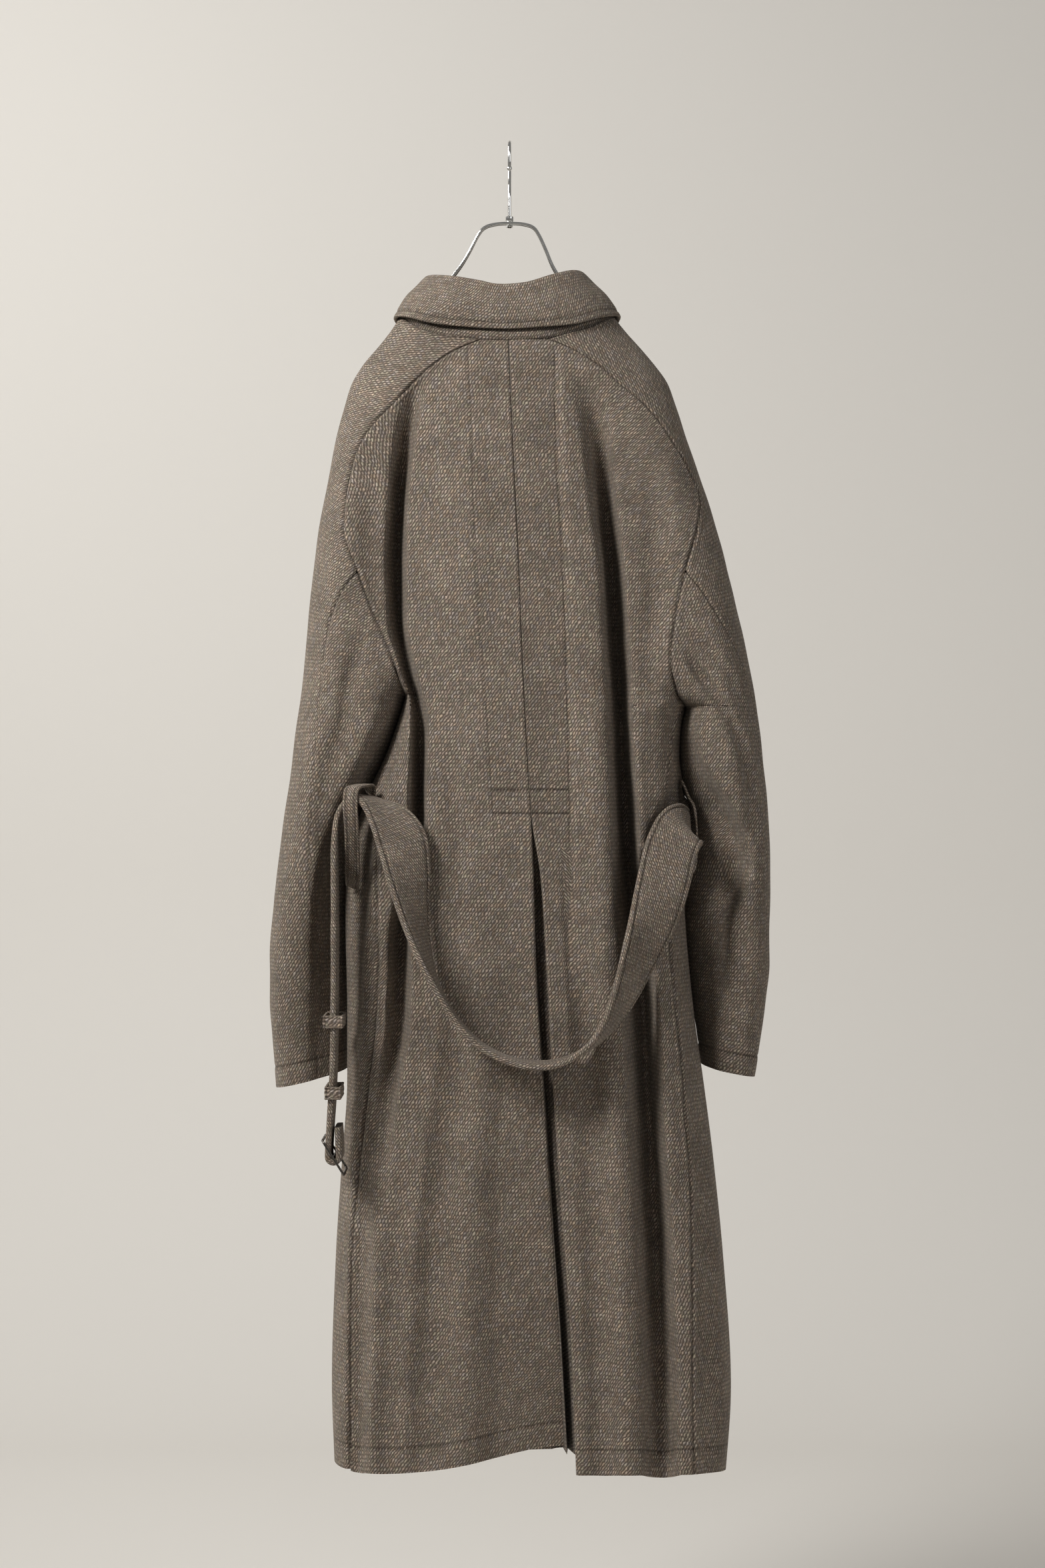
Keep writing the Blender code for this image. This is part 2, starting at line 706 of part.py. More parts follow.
def hem_drop(x, side):
    """The hem is level but for the left panel, which lifts towards the pleat."""
    if side == "left" and x > -150:
        return HEM_DROP - 17 * math.exp(-(((x - 61) / 80) ** 2))
    return HEM_DROP


CUFF = {"left": (991, 0.24), "right": (980, 0.20)}      # drop at the outer edge, rise towards the body


def cuff_drop(x, side):
    lowest, slope = CUFF[side]
    return lowest - slope * abs(OUTLINE.at(side, lowest - 10) - x)


# Rows of the CAD walls, by drop.
TOP_SHARES = (0.0, 0.25, 0.6)
UPPER_ROWS = (300, 350, 400, 453, 500, 547)
BODY_ROWS = (610, 650, 700, 750, 812, 910, 1000, 1110, 1245)
SLEEVE_ROWS = (610, 650, 700, 750, 812, 900)


def rows_of(side, lower):
    return list(UPPER_ROWS) + [UNDERARM[side] - 13, UNDERARM[side] - 3, UNDERARM[side]] + list(lower)


def column_drops(top, level_rows, bottom):
    fan = [top + (level_rows[0] - top) * share for share in TOP_SHARES]
    return fan + list(level_rows) + [bottom]


def new_material(piece, finish):
    """Each piece has its own material, named for the piece and its finish."""
    name, colour, roughness, metallic = finish
    material = bpy.data.materials.new(piece + "_" + name)
    material.use_nodes = True
    shader = material.node_tree.nodes["Principled BSDF"]
    shader.inputs["Base Color"].default_value = (*colour, 1.0)
    shader.inputs["Roughness"].default_value = roughness
    shader.inputs["Metallic"].default_value = metallic
    material.diffuse_color = (*colour, 1.0)
    return material


def mesh_object(name, vertices, faces, material):
    mesh = bpy.data.meshes.new(name)
    mesh.from_pydata([tuple(v) for v in vertices], [], faces)
    mesh.materials.append(new_material(name, material))
    shape = bmesh.new()
    shape.from_mesh(mesh)
    bmesh.ops.recalc_face_normals(shape, faces=shape.faces)
    shape.to_mesh(mesh)
    shape.free()
    mesh.shade_smooth()
    mesh.set_sharp_from_angle(angle=math.radians(40))
    thing = bpy.data.objects.new(name, mesh)
    bpy.context.collection.objects.link(thing)
    return thing


def wall(name, outer, inner, material):
    """A closed wall from two grids of points, rows by columns."""
    rows, columns = len(outer), len(outer[0])
    size = rows * columns
    vertices = [p for row in outer for p in row] + [p for row in inner for p in row]
    faces = []

    def at(i, j, layer=0):
        return layer * size + i * columns + j

    for i in range(rows - 1):
        for j in range(columns - 1):
            faces.append((at(i, j), at(i, j + 1), at(i + 1, j + 1), at(i + 1, j)))
            faces.append((at(i, j, 1), at(i + 1, j, 1), at(i + 1, j + 1, 1), at(i, j + 1, 1)))
    for i in range(rows - 1):
        for j in (0, columns - 1):
            faces.append((at(i, j), at(i + 1, j), at(i + 1, j, 1), at(i, j, 1)))
    for j in range(columns - 1):
        for i in (0, rows - 1):
            faces.append((at(i, j), at(i, j, 1), at(i, j + 1, 1), at(i, j + 1)))
    return mesh_object(name, vertices, faces, material)


def space(x, y, drop):
    return (x * MM, y * MM, -drop * MM)


def thicken(points, facing):
    """The inner side of a row of points: each moves in by the wall along the mean of its two neighbours' normals."""
    step = np.diff(points, axis=0)
    size = np.maximum(np.linalg.norm(step, axis=1), 1e-9)
    normal = facing * np.column_stack((-step[:, 1], step[:, 0])) / size[:, None]
    share = 1 + np.sum(normal[:-1] * normal[1:], axis=1)
    miter = (normal[:-1] + normal[1:]) / np.maximum(share, 0.7)[:, None]
    return points[1:-1] - WALL * miter


def wall_from(name, columns, place, facing, material, top_edge=None):
    """A wall whose column c holds the drops columns[c], each placed by place(c, drop). Where the top edge is a
    seam across level lines, top_edge gives the way into the piece for every column."""
    drops = np.array(columns, float).T
    outer, inner = np.empty(drops.shape + (2,)), np.empty(drops.shape + (2,))
    last = len(columns) - 1
    for i, row in enumerate(drops):
        for c, drop in enumerate(row):
            line, length = place(c, drop)
            outer[i, c] = line.point(length)
            into = top_edge[c] if top_edge is not None and i == 0 else {0: 1, last: -1}.get(c, 0)
            inner[i, c] = line.behind_edge(length, into) if into else line.behind(length)
        if np.ptp(row) < 1e-6:
            inner[i, 1:-1] = thicken(outer[i], facing)
    grids = [[[space(x, y, drop) for (x, y), drop in zip(points, row)] for points, row in zip(grid, drops)]
             for grid in (outer, inner)]
    return wall(name, *grids, material)


def x_of(placed):
    line, length = placed
    return line.point(length)[0]


def make_back(side, wool):
    rows = rows_of(side, BODY_ROWS)
    count = len(back_columns(side, LEVEL_FROM)[1])

    def place(c, drop):
        line, lengths = back_columns(side, drop)
        return line, lengths[c]

    columns = [column_drops(NECK_BACK + 0.3, rows, hem_drop(x_of(place(c, HEM_DROP)), side)) for c in range(count)]
    return wall_from("back_" + side, columns, place, -SIDES[side], wool)


def make_front(side, wool):
    rows = rows_of(side, BODY_ROWS)

    def place(c, drop):
        return front_point(side, c / (FRONT_COLUMNS - 1), drop)

    columns = [column_drops(front_top(side, c / (FRONT_COLUMNS - 1)) + 0.3, rows, HEM_DROP)
               for c in range(FRONT_COLUMNS)]
    return wall_from("front_" + side, columns, place, -SIDES[side], wool)


def make_sleeve(side, wool):
    rows = rows_of(side, SLEEVE_ROWS)

    def place(c, drop):
        return sleeve_point(side, SLEEVE_SHARES[c], drop)

    tops = [float(np.interp(share, NECK_SHARES, NECK_DROPS)) + 0.3 for share in SLEEVE_SHARES]
    columns = [column_drops(top, rows, cuff_drop(x_of(place(c, rows[-1])), side)) for c, top in enumerate(tops)]
    return wall_from("sleeve_" + side, columns, place, -SIDES[side], wool)


def make_undersleeve(side, wool):
    rows = [row for row in rows_of(side, SLEEVE_ROWS) if row >= SLEEVE_SPLIT]
    level = rows.index(SLEEVE_ROWS[0]) + 1
    upper, lower = rows[:level], rows[level:]
    tops = armhole_drops(side, upper)
    tops[[0, -1]] += 1.0
    shares = np.linspace(0, 1, len(tops))
    steps = [(row - upper[0]) / (upper[-1] - upper[0]) for row in upper]

    def place(c, drop):
        return undersleeve_point(side, shares[c], drop, tops)

    columns = []
    for c, top in enumerate(tops):
        fan = [top + (upper[-1] - top) * step for step in steps]
        columns.append(fan + lower + [cuff_drop(x_of(place(c, lower[-1])), side)])
    half = len(tops) // 2
    top_edge = [-1] * half + [0] + [1] * half
    return wall_from("undersleeve_" + side, columns, place, -SIDES[side], wool, top_edge)


def make_underlay(wool):
    """The pleat's floor: a strip behind both turned-back edges."""
    outer, inner = [], []
    for drop in (PLEAT_TOP + 5, 767, 866, 1002, 1129, 1242, 1345, HEM_DROP - 18):
        left, right = PLEAT.at("left", drop), PLEAT.at("right", drop)
        width = SEAM_ALLOWANCE + (PLEAT_RETURN - SEAM_ALLOWANCE) * ease((drop - PLEAT_TOP) / 60)
        ends = np.array([left - width, left, right, right + width])
        middle = (left + right) / 2
        sides = ("left", "left", "right", "right")
        ys = [float(face_line(s, "back", "body", np.array([x]), drop)[0]) + TURN_BACK + 1.4
              for s, x in zip(sides, ends)]
        points = [(ends[0], ys[0]), (ends[1], ys[1]), (middle, (ys[1] + ys[2]) / 2 + 1), (ends[2], ys[2]),
                  (ends[3], ys[3])]
        outer.append([space(x, y, drop) for x, y in points])
        inner.append([space(x, y + WALL, drop) for x, y in points])
    return wall("pleat_underlay", outer, inner, wool)


def sweep(name, rings, material, closed=False):
    """A solid through rings of equal count; open ends are capped."""
    count = len(rings[0])
    vertices = [p for ring in rings for p in ring]
    faces = []
    spans = len(rings) if closed else len(rings) - 1
    for i in range(spans):
        a, b = i * count, ((i + 1) % len(rings)) * count
        for k in range(count):
            n = (k + 1) % count
            faces.append((a + k, a + n, b + n, b + k))
    if not closed:
        faces.append(tuple(range(count))[::-1])
        faces.append(tuple(range(len(vertices) - count, len(vertices))))
    return mesh_object(name, vertices, faces, material)


def through(points, count, closed=False):
    """Evenly many points on a smooth curve through the given ones, in however many numbers each has."""
    points = np.array(points, float)
    if closed:
        points = np.vstack((points[-1:], points, points[:2]))
    else:
        points = np.vstack((2 * points[0] - points[1], points, 2 * points[-1] - points[-2]))
    spans = len(points) - 3
    total = spans if closed else spans + 1e-9
    result = []
    for at in np.linspace(0, spans, count, endpoint=not closed):
        i = min(int(at), spans - 1)
        t = at - i if total else 0
        a, b, c, d = points[i : i + 4]
        result.append(0.5 * (2 * b + (c - a) * t + (2 * a - 5 * b + 4 * c - d) * t * t
                             + (3 * b - a - 3 * c + d) * t ** 3))
    return np.array(result)


# The collar, station by station round the neck from its left point to its right point. The neck line is
# where the stand is sewn on, the fold line where the fall turns over, and the edge is the fall's own.
COLLAR = (
    # neck x, y, drop      fold x, y, drop      edge x, y, drop
    ((-4, 55, 254), (-5, 54, 230), (-46, 78, 306)),
    ((-34, 54, 238), (-30, 51, 205), (-70, 75, 268)),
    ((-64, 46, 220), (-56, 41, 178), (-92, 62, 226)),
    ((-94, 30, 206), (-76, 24, 158), (-112, 40, 196)),
    ((-114, 2, 182), (-87, 0, 147), (-121, 0, 177)),
    ((-101, -32, 193), (-81, -26, 147), (-107, -42, 184)),
    ((-73, -52, 206), (-58, -46, 151), (-77, -66, 196)),
    ((-38, -60, 211), (-32, -52, 156), (-40, -72, 204)),
    ((-1, -62, 212), (-11, -54, 160), (-2, -74, 207)),
    ((32, -60, 211), (18, -53, 158), (30, -72, 204)),
    ((62, -52, 206), (46, -47, 149), (66, -66, 197)),
    ((92, -34, 193), (68, -27, 142), (97, -44, 184)),
    ((109, 2, 181), (78, 0, 143), (115, 0, 174)),
    ((90, 30, 206), (70, 24, 156), (107, 40, 196)),
    ((62, 46, 220), (54, 41, 178), (88, 62, 226)),
    ((34, 54, 238), (30, 51, 205), (68, 75, 268)),
    ((5, 55, 254), (6, 54, 230), (44, 78, 306)),
)
COLLAR_STEPS = 29
COLLAR_THICK = 4.0


def collar_frames():
    """Neck, fold and edge points with the direction that points out of the neck, all in millimetres."""
    flat = through([np.concatenate(row) for row in COLLAR], COLLAR_STEPS)
    neck, fold, edge = flat[:, 0:3], flat[:, 3:6], flat[:, 6:9]
    run = np.gradient(neck[:, :2], axis=0)
    out = np.column_stack((run[:, 1], -run[:, 0]))
    out /= np.linalg.norm(out, axis=1)[:, None]
    if out[COLLAR_STEPS // 2, 1] > 0:
        out = -out
    return neck, fold, edge, np.column_stack((out, np.zeros(len(out))))


def make_collar(wool):
    neck, fold, edge, out = collar_frames()
    down = np.array([0, 0, 1.0])
    stand, fall = [], []
    for n, f, e, o in zip(neck, fold, edge, out):
        rise = (n - f) / np.linalg.norm(n - f)
        away = o - rise * np.dot(o, rise)
        away /= np.linalg.norm(away)
        base = n - rise * 1.2
        stand.append([space(*p) for p in (f, f - away * WALL, base - away * WALL, base)])
        slant = (e - f) / np.linalg.norm(e - f)
        face = o - slant * np.dot(o, slant)
        face /= np.linalg.norm(face)
        half = COLLAR_THICK / 2
        middle = (f + e) / 2 + face * 4.0
        profile = [
            f - away * WALL - rise * 0.6,
            f - away * WALL - rise * 3.2,
            f + away * 0.6 - rise * 5.4,
            f + away * 4.6 - rise * 2.6,
            middle + face * half,
            e + face * half - slant * 3,
            e,
            e - face * half - slant * 3,
            middle - face * half,
            f + away * 0.7 + rise * 1.5,
            f + away * 0.7 - rise * 0.6,
        ]
        fall.append([space(*p) for p in profile])
    return sweep("collar_stand", stand, wool), sweep("collar_fall", fall, wool)


def ribbon(name, stations, steps, thick, material, closed=False):
    """A strap through stations: centre x, y, drop and the vector across it from one edge to the other."""
    flat = through([tuple(c) + tuple(w) for c, w in stations], steps, closed)
    centre, across = flat[:, :3], flat[:, 3:]
    if closed:
        travel = np.roll(centre, -1, axis=0) - np.roll(centre, 1, axis=0)
    else:
        travel = np.gradient(centre, axis=0)
    rings = []
    for c, w, t in zip(centre, across, travel):
        t = t / np.linalg.norm(t)
        width = np.linalg.norm(w)
        w = w - t * np.dot(w, t)
        w = w / np.linalg.norm(w) * width / 2
        n = np.cross(t, w)
        n = n / np.linalg.norm(n) * thick / 2
        rings.append([space(*p) for p in (c - w - n, c + w - n, c + w + n, c - w + n)])
    return sweep(name, rings, material, closed)


def belt_stations():
    """The belt from its end at the buckle, up to the left loop, in a U across the back to the right loop,
    forward beside the body, and down in front to its free end."""
    bx, by, bd = BAR_AT
    across = (0, BELT_WIDTH, 0)
    round_bar = BAR_RADIUS + 0.8 + BELT_THICK / 2
    stations = [((bx + 4.3, by, bd - 30), across), ((bx + 5.2, by, bd - 12), across)]
    for angle in (0, 45, 90, 135, 180):
        turn = math.radians(angle)
        stations.append(((bx + round_bar * math.cos(turn), by, bd + round_bar * math.sin(turn)), across))
    stations += [
        ((bx - 5.2, by, bd - 12), across),
        ((bx - 4.1, by, bd - 30), across),
        ((-179, -101, 960), across),
        ((-178, -98, 880), across),
        ((-178, -96, 800), (0, 54, 0)),
        ((-178, -95, 735), (0, 48, 0)),
        ((-174, -94, 703), (0, 43, 0)),
        ((-163, -94, 688), (0, 42, 0)),
        ((-150, -97, 686), (1, 42, 0)),
        ((-138, -105, 691), (12, 46, -8)),
        ((-122, -114, 706), (32, 38, -20)),
        ((-109, -120, 730), (44, 26, -24)),
        ((-103, -124, 761), (40, 36, -18)),
        ((-98, -127, 795), (28, 46, -14)),
        ((-92, -129, 825), (16, 52, -11)),
        ((-82, -130, 858), (5, 56, -5)),
        ((-69, -130, 887), (0, 56, 0)),
        ((-52, -128, 914), (0, 56, 0)),
        ((-32, -128, 935), (0, 56, 0)),
        ((-8, -128, 949), (0, 56, 0)),
        ((18, -128, 956), (0, 56, 0)),
        ((44, -128, 956), (0, 56, 0)),
        ((68, -127, 947), (3, 56, 2)),
        ((88, -126, 932), (8, 55, 5)),
        ((104, -124, 912), (16, 53, 7)),
        ((118, -122, 884), (26, 49, 7)),
        ((132, -119, 848), (38, 41, 4)),
        ((148, -115, 805), (51, 22, -2)),
        ((158, -112, 768), (55, 12, 0)),
        ((164, -109, 742), (54, 6, 10)),
        ((170, -104, 727), (50, 0, 20)),
        ((175, -95, 719), (46, -6, 28)),
        ((180, -80, 716), (34, -4, 42)),
        ((184, -60, 718), (16, -8, 52)),
        ((186, -38, 723), (4, -10, 54)),
        ((186, -10, 728), (0, -8, 55)),
        ((186, 20, 732), (0, -6, 55)),
        ((186, 48, 737), (2, -6, 55)),
        ((184, 72, 741), (18, -4, 52)),
        ((180, 93, 746), (35, 2, 42)),
        ((175, 108, 754), (47, 2, 28)),
        ((171, 118, 769), (52, 0, 18)),
        ((168, 124, 792), (55, 0, 8)),
        ((166, 127, 830), (56, 3, 2)),
        ((165, 129, 900), (56, 4, 0)),
        ((165, 131, 1000), (56, 6, 0)),
    ]
    return stations


def make_belt(wool):
    return ribbon("belt", belt_stations(), 84, BELT_THICK, wool)


def laid_on(side, drop, in_from_side, out):
    """A loop's end, laid on the body this far round from its side and this far off it."""
    line = half_line(side, "body", drop)
    length = line.at("back", BODY_SIDE.at(side, drop) - SIDES[side] * in_from_side)
    ends = [line.point(length + reach * LOOP_WIDTH / 2) for reach in (-1, 1)]
    if side == "left":
        ends.reverse()
    across = ends[1] - ends[0]
    away = np.array((across[1], -across[0])) / np.linalg.norm(across)
    middle = (ends[0] + ends[1]) / 2 + away * out
    return (middle[0], middle[1], drop), (across[0], across[1], 0)


def make_loops(wool):
    off = LOOP_THICK / 2 + 4
    across = (LOOP_WIDTH, 0, 0)
    left = [
        laid_on("left", 684, 12, off + 1), ((-145, -72, 674), (14, -6, 0)), ((-153, -96, 674), across),
        ((-160, -119, 678), across), ((-161, -127, 693), across), ((-160, -121, 715), across),
        ((-160, -103, 742), across), ((-161, -84, 764), (15, -6, 0)), laid_on("left", 779, 13, off + 1),
    ]
    across = (0, LOOP_WIDTH, 0)
    right = [
        ((179, -30, 668), across), ((182.4, -30, 675), across), ((187, -30, 686), across),
        ((193.0, -30, 698), across), ((195.0, -30, 728), across), ((193.5, -30, 757), across),
        ((188, -30, 768), across), ((184, -30, 776), across),
    ]
    return (
        ribbon("belt_loop_left", left, 15, LOOP_THICK, wool),
        ribbon("belt_loop_right", right, 13, 2.4, wool),
    )


def rounded_rectangle(half_x, half_y, corner, steps):
    points = []
    for quarter, (sx, sy) in enumerate(((1, 1), (-1, 1), (-1, -1), (1, -1))):
        for k in range(steps + 1):
            turn = math.pi / 2 * (quarter + k / steps)
            points.append((sx * (half_x - corner) + corner * math.cos(turn),
                           sy * (half_y - corner) + corner * math.sin(turn)))
    return points


KEEPERS = {"belt_keeper_1": (918, 11.5), "belt_keeper_2": (992, 9.5)}      # drop and half its breadth
KEEPER_HEIGHT = 15


def make_keeper(name, drop, half_x, wool):
    """A narrow band round the hanging end of the belt."""
    x, y = -178.4, BAR_AT[1] + (3.6 if drop < 950 else 0.4)
    half_y = BELT_WIDTH / 2 + 3.6
    band = 2.6
    rings = []
    outside = rounded_rectangle(half_x, half_y, 4.0, 2)
    inside = rounded_rectangle(half_x - band, half_y - band, 1.8, 2)
    for (ox, oy), (ix, iy) in zip(outside, inside):
        top, bottom = drop - KEEPER_HEIGHT / 2, drop + KEEPER_HEIGHT / 2
        rings.append([space(x + ox, y + oy, top), space(x + ix, y + iy, top),
                      space(x + ix, y + iy, bottom), space(x + ox, y + oy, bottom)])
    return sweep(name, rings, wool, closed=True)


def circle_ring(centre, travel, radius, sides):
    travel = travel / np.linalg.norm(travel)
    side = np.cross(travel, (0.0, 1.0, 0.0))
    if np.linalg.norm(side) < 0.2:
        side = np.cross(travel, (1.0, 0.0, 0.0))
    side /= np.linalg.norm(side)
    up = np.cross(side, travel)
    turns = [2 * math.pi * k / sides for k in range(sides)]
    return [space(*(centre + radius * (math.cos(a) * side + math.sin(a) * up))) for a in turns]


def tube(name, path, radii, sides, material, closed=False):
    path = np.array(path, float)
    if closed:
        travel = np.roll(path, -1, axis=0) - np.roll(path, 1, axis=0)
    else:
        travel = np.gradient(path, axis=0)
    rings = [circle_ring(p, t, r, sides) for p, t, r in zip(path, travel, radii)]
    return sweep(name, rings, material, closed)


def make_buckle(metal):
    """A flat frame with a bar across its middle; the frame turns on that bar."""
    bx, by, bd = BAR_AT
    tilt = math.radians(FRAME_TILT)
    rings = []
    half_long, half_wide, bar = FRAME_LENGTH / 2, FRAME_WIDTH / 2, 2.6
    outside = rounded_rectangle(half_long, half_wide, 5.0, 3)
    inside = rounded_rectangle(half_long - bar, half_wide - bar, 2.6, 3)
    along = (math.sin(tilt), math.cos(tilt))
    square = (math.cos(tilt), -math.sin(tilt))
    for (ou, ov), (iu, iv) in zip(outside, inside):
        ring = []
        for (u, v), n in (((ou, ov), -1), ((iu, iv), -1), ((iu, iv), 1), ((ou, ov), 1)):
            n *= BAR_RADIUS * 0.9
            ring.append(space(bx + u * along[0] + n * square[0], by + v, bd + u * along[1] + n * square[1]))
        rings.append(ring)
    frame = sweep("buckle_frame", rings, metal, closed=True)
    ends = [(bx, by - half_wide + 1.2, bd), (bx, by, bd), (bx, by + half_wide - 1.2, bd)]
    bar_part = tube("buckle_bar_cutter", ends, [BAR_RADIUS * 0.85] * 3, 8, metal)
    bar_part.hide_render = True
    bar_part.display_type = "WIRE"
    join = frame.modifiers.new("middle bar", "BOOLEAN")
    join.operation = "UNION"
    join.object = bar_part
    for part in (frame, bar_part):
        part.data.transform(Matrix.Translation(-Vector(space(bx, by, bd))))
        part.location = space(bx, by, bd)
    return frame


def make_hanger(chrome):
    """Two wires joined at the shoulder tips, the nut that clamps them, and the hook."""
    middle = ((0, 3.6, 83.5),)
    left = ((-15, 3.8, 84.5), (-26, 4.2, 88), (-33, 4.6, 96), (-42, 5.5, 113), (-51, 6.5, 128), (-64, 8, 145),
            (-78, 9, 163), (-92, 10, 182), (-106, 10, 199), (-124, 10, 217), (-142, 9, 236), (-153, 7, 249),
            (-157, 3.5, 257))
    right = ((15, 3.8, 84.5), (25, 4.2, 88), (31, 4.6, 96), (38, 5.5, 111), (45, 6.5, 128), (54, 8, 143),
             (65, 9, 159), (79, 10, 179), (95, 10, 197), (117, 10, 215), (139, 9, 235), (151, 7, 249),
             (156, 3.5, 257))
    back = [(x, -y, d) for x, y, d in left[::-1] + middle + right]
    front = [(x, y, d) for x, y, d in right[::-1] + middle + left]
    loop = through(back + front, 112, closed=True)
    frame = tube("hanger_wires", loop, [WIRE / 2] * len(loop), 8, chrome, closed=True)

    top = HOOK_WIRE / 2
    path = [(0, 0, 75.6), (0, 0, 62), (0, 0.5, 52), (0, 5, 43), (0, 11, 35), (0, 15.5, 26)]
    for angle in range(0, 181, 15):
        turn = math.radians(angle - 8)
        path.append((0, HOOK_ROUND * math.cos(turn), HOOK_ROUND - top - HOOK_ROUND * math.sin(turn)))
    path += [(0, -16.6, 21), (0, -15.2, 26.0)]
    line = through(path, 52)
    radii = [HOOK_WIRE / 2] * len(line)
    line = np.vstack((line, line[-1] + (0, 0.5, 1.4), line[-1] + (0, 0.9, 3.2), line[-1] + (0, 1.2, 4.6)))
    radii += [2.6, 2.6, 1.0]
    hook = tube("hanger_hook", line, radii, 10, chrome)

    shape = ((75.9, 3.0), (76.6, 4.2), (81.0, 4.2), (81.6, 3.4), (81.7, 1.75), (85.3, 1.75), (85.4, 3.0),
             (86.6, 3.6), (88.2, 2.6), (89.0, 1.0))
    rings = []
    for drop, radius in shape:
        turns = [math.pi / 6 * k for k in range(12)]
        rings.append([space(radius * math.cos(a), radius * math.sin(a), drop) for a in turns])
    nut = sweep("hanger_nut", rings, chrome)
    return frame, hook, nut


def main():
    for thing in list(bpy.data.objects):
        bpy.data.objects.remove(thing)
    for side in SIDES:
        make_back(side, WOOL)
        make_front(side, WOOL)
        make_sleeve(side, WOOL)
        make_undersleeve(side, WOOL)
    make_underlay(WOOL)
    make_collar(WOOL)
    make_belt(WOOL)
    make_loops(WOOL)
    for name, (drop, half_x) in KEEPERS.items():
        make_keeper(name, drop, half_x, WOOL)
    make_buckle(DARK_METAL)
    make_hanger(CHROME)


main()
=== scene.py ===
"""A belted balmacaan coat hanging from a wire hanger, back outwards.

Every cloth piece is cut from one family of level lines: above the underarm one line runs round sleeves and
body together, below it the body and the two sleeves each have their own. The lines come from short tables of
sizes by drop, the distance below the inside top of the hook. Sizes in the tables are millimetres; +X is the
wearer's right, -Y the coat's back and +Z up.
"""

import contextlib
import functools
import math

import bmesh
import bpy
import numpy as np
from bpy.props import FloatProperty, FloatVectorProperty, PointerProperty
from mathutils import Matrix, Vector


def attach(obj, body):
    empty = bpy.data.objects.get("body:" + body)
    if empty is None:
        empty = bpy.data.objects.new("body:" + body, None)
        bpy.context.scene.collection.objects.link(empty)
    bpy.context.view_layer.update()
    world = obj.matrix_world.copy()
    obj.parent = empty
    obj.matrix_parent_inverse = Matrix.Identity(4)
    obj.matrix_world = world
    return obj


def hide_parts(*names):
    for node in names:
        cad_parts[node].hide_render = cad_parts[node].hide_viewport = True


bl_info = {
    "name": "Hanging Coat",
    "version": (1, 0, 0),
    "blender": (4, 5, 0),
    "location": "3D Viewport > Sidebar > Coat",
    "description": "Models a wool coat on a wire hanger around its packed frame",
    "category": "Object",
}

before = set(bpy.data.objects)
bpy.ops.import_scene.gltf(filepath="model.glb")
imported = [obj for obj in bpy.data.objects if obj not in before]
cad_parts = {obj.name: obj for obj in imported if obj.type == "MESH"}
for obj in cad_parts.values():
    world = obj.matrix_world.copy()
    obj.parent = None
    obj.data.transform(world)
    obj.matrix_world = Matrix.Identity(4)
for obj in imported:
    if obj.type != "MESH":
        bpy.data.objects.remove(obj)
bpy.ops.object.select_all(action="DESELECT")
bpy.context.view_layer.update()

MM = 0.001
SIDES = {"left": -1, "right": 1}
COAT_BODY = "coat_and_hanger"

UNDERARM = {"left": 579, "right": 591}       # drop of the lowest point of each armhole
ARMHOLE_ROUND = 45
TURN_BACK = 7.4            # depth of a pressed edge
SEAM_ALLOWANCE = 10
PLEAT_RETURN = 42
PLEAT_TOP = 705
HEM_DROP = 1380
NECK_BACK = 213
NECK_FRONT = 258
RAGLAN_FRONT = 222
SEAM_GAP = 0.04
LINE_POINTS = 400
FRONT_LAP = 60
LAP_STEP = 5.6
DEEPEST = 0.86              # no fold takes more of the half depth than this
TACKS = (678, 702)          # drops of the two stitched lines above the pleat
HEM_TURN = 26
HEM_STITCHES = HEM_DROP - HEM_TURN
HEM_SHAPED = 1240           # drop below which the hem's own line shows
CUFF_TURN = 22
CUFF_SHAPED = 840
BULGE = (672, 708)          # drops between which the right side stands out beside the belt's loop
ARM_BULGE = (680, 790)      # drops between which the right sleeve's inner end meets it
ARM_MEETS = 189             # x at which it does
ARM_FREE = 806              # drop below which a sleeve's inner end keeps clear of the body's side
PRESSED_END = 760           # drop at which the pressed lines run out
STITCH_SHADE = 1.3          # half the breadth of the dark line along a row of stitches
SEED_STEP = 13.7            # how far each piece's weave is moved for each number of its seed

BELT_WIDTH = 56
BAR_AT = (-178.0, -103.0, 1050.0)
BAR_RADIUS = 1.2
FRAME_LENGTH = 43
FRAME_WIDTH = 66
FRAME_TILT = 32
FRAME_BREADTH = 0.0026      # of the metal, in metres as bpy takes it
FRAME_THICK = 0.0022
FRAME_CORNER = 0.005
FRAME_SOFT = 0.0007         # the small rounding of the metal's edges
LOOP_WIDTH = 15
WIRE = 3.0
HOOK_WIRE = 3.5
HOOK_ROUND = 17.0
HOOK_BALL = 0.0027          # radius of the ball on the hook's tip, in metres


# ---------------------------------------------------------------- sizes and finishes a user would change


class CoatSizes(bpy.types.PropertyGroup):
    cloth: FloatProperty(name="Cloth", description="Thickness of one layer of the wool", default=0.0026, unit="LENGTH")
    row_step: FloatProperty(name="Rows", description="Distance between rows of the outer pieces", default=0.004,
                            unit="LENGTH")
    seam_sink: FloatProperty(name="Seam Sink", description="How far a seam lies under the cloth beside it",
                             default=0.0015, unit="LENGTH")
    stitch: FloatProperty(name="Stitch", description="Length of one stitch", default=0.0042, unit="LENGTH")
    wave: FloatProperty(name="Wave", description="Height of the cloth's slight unevenness", default=0.0009,
                        unit="LENGTH")


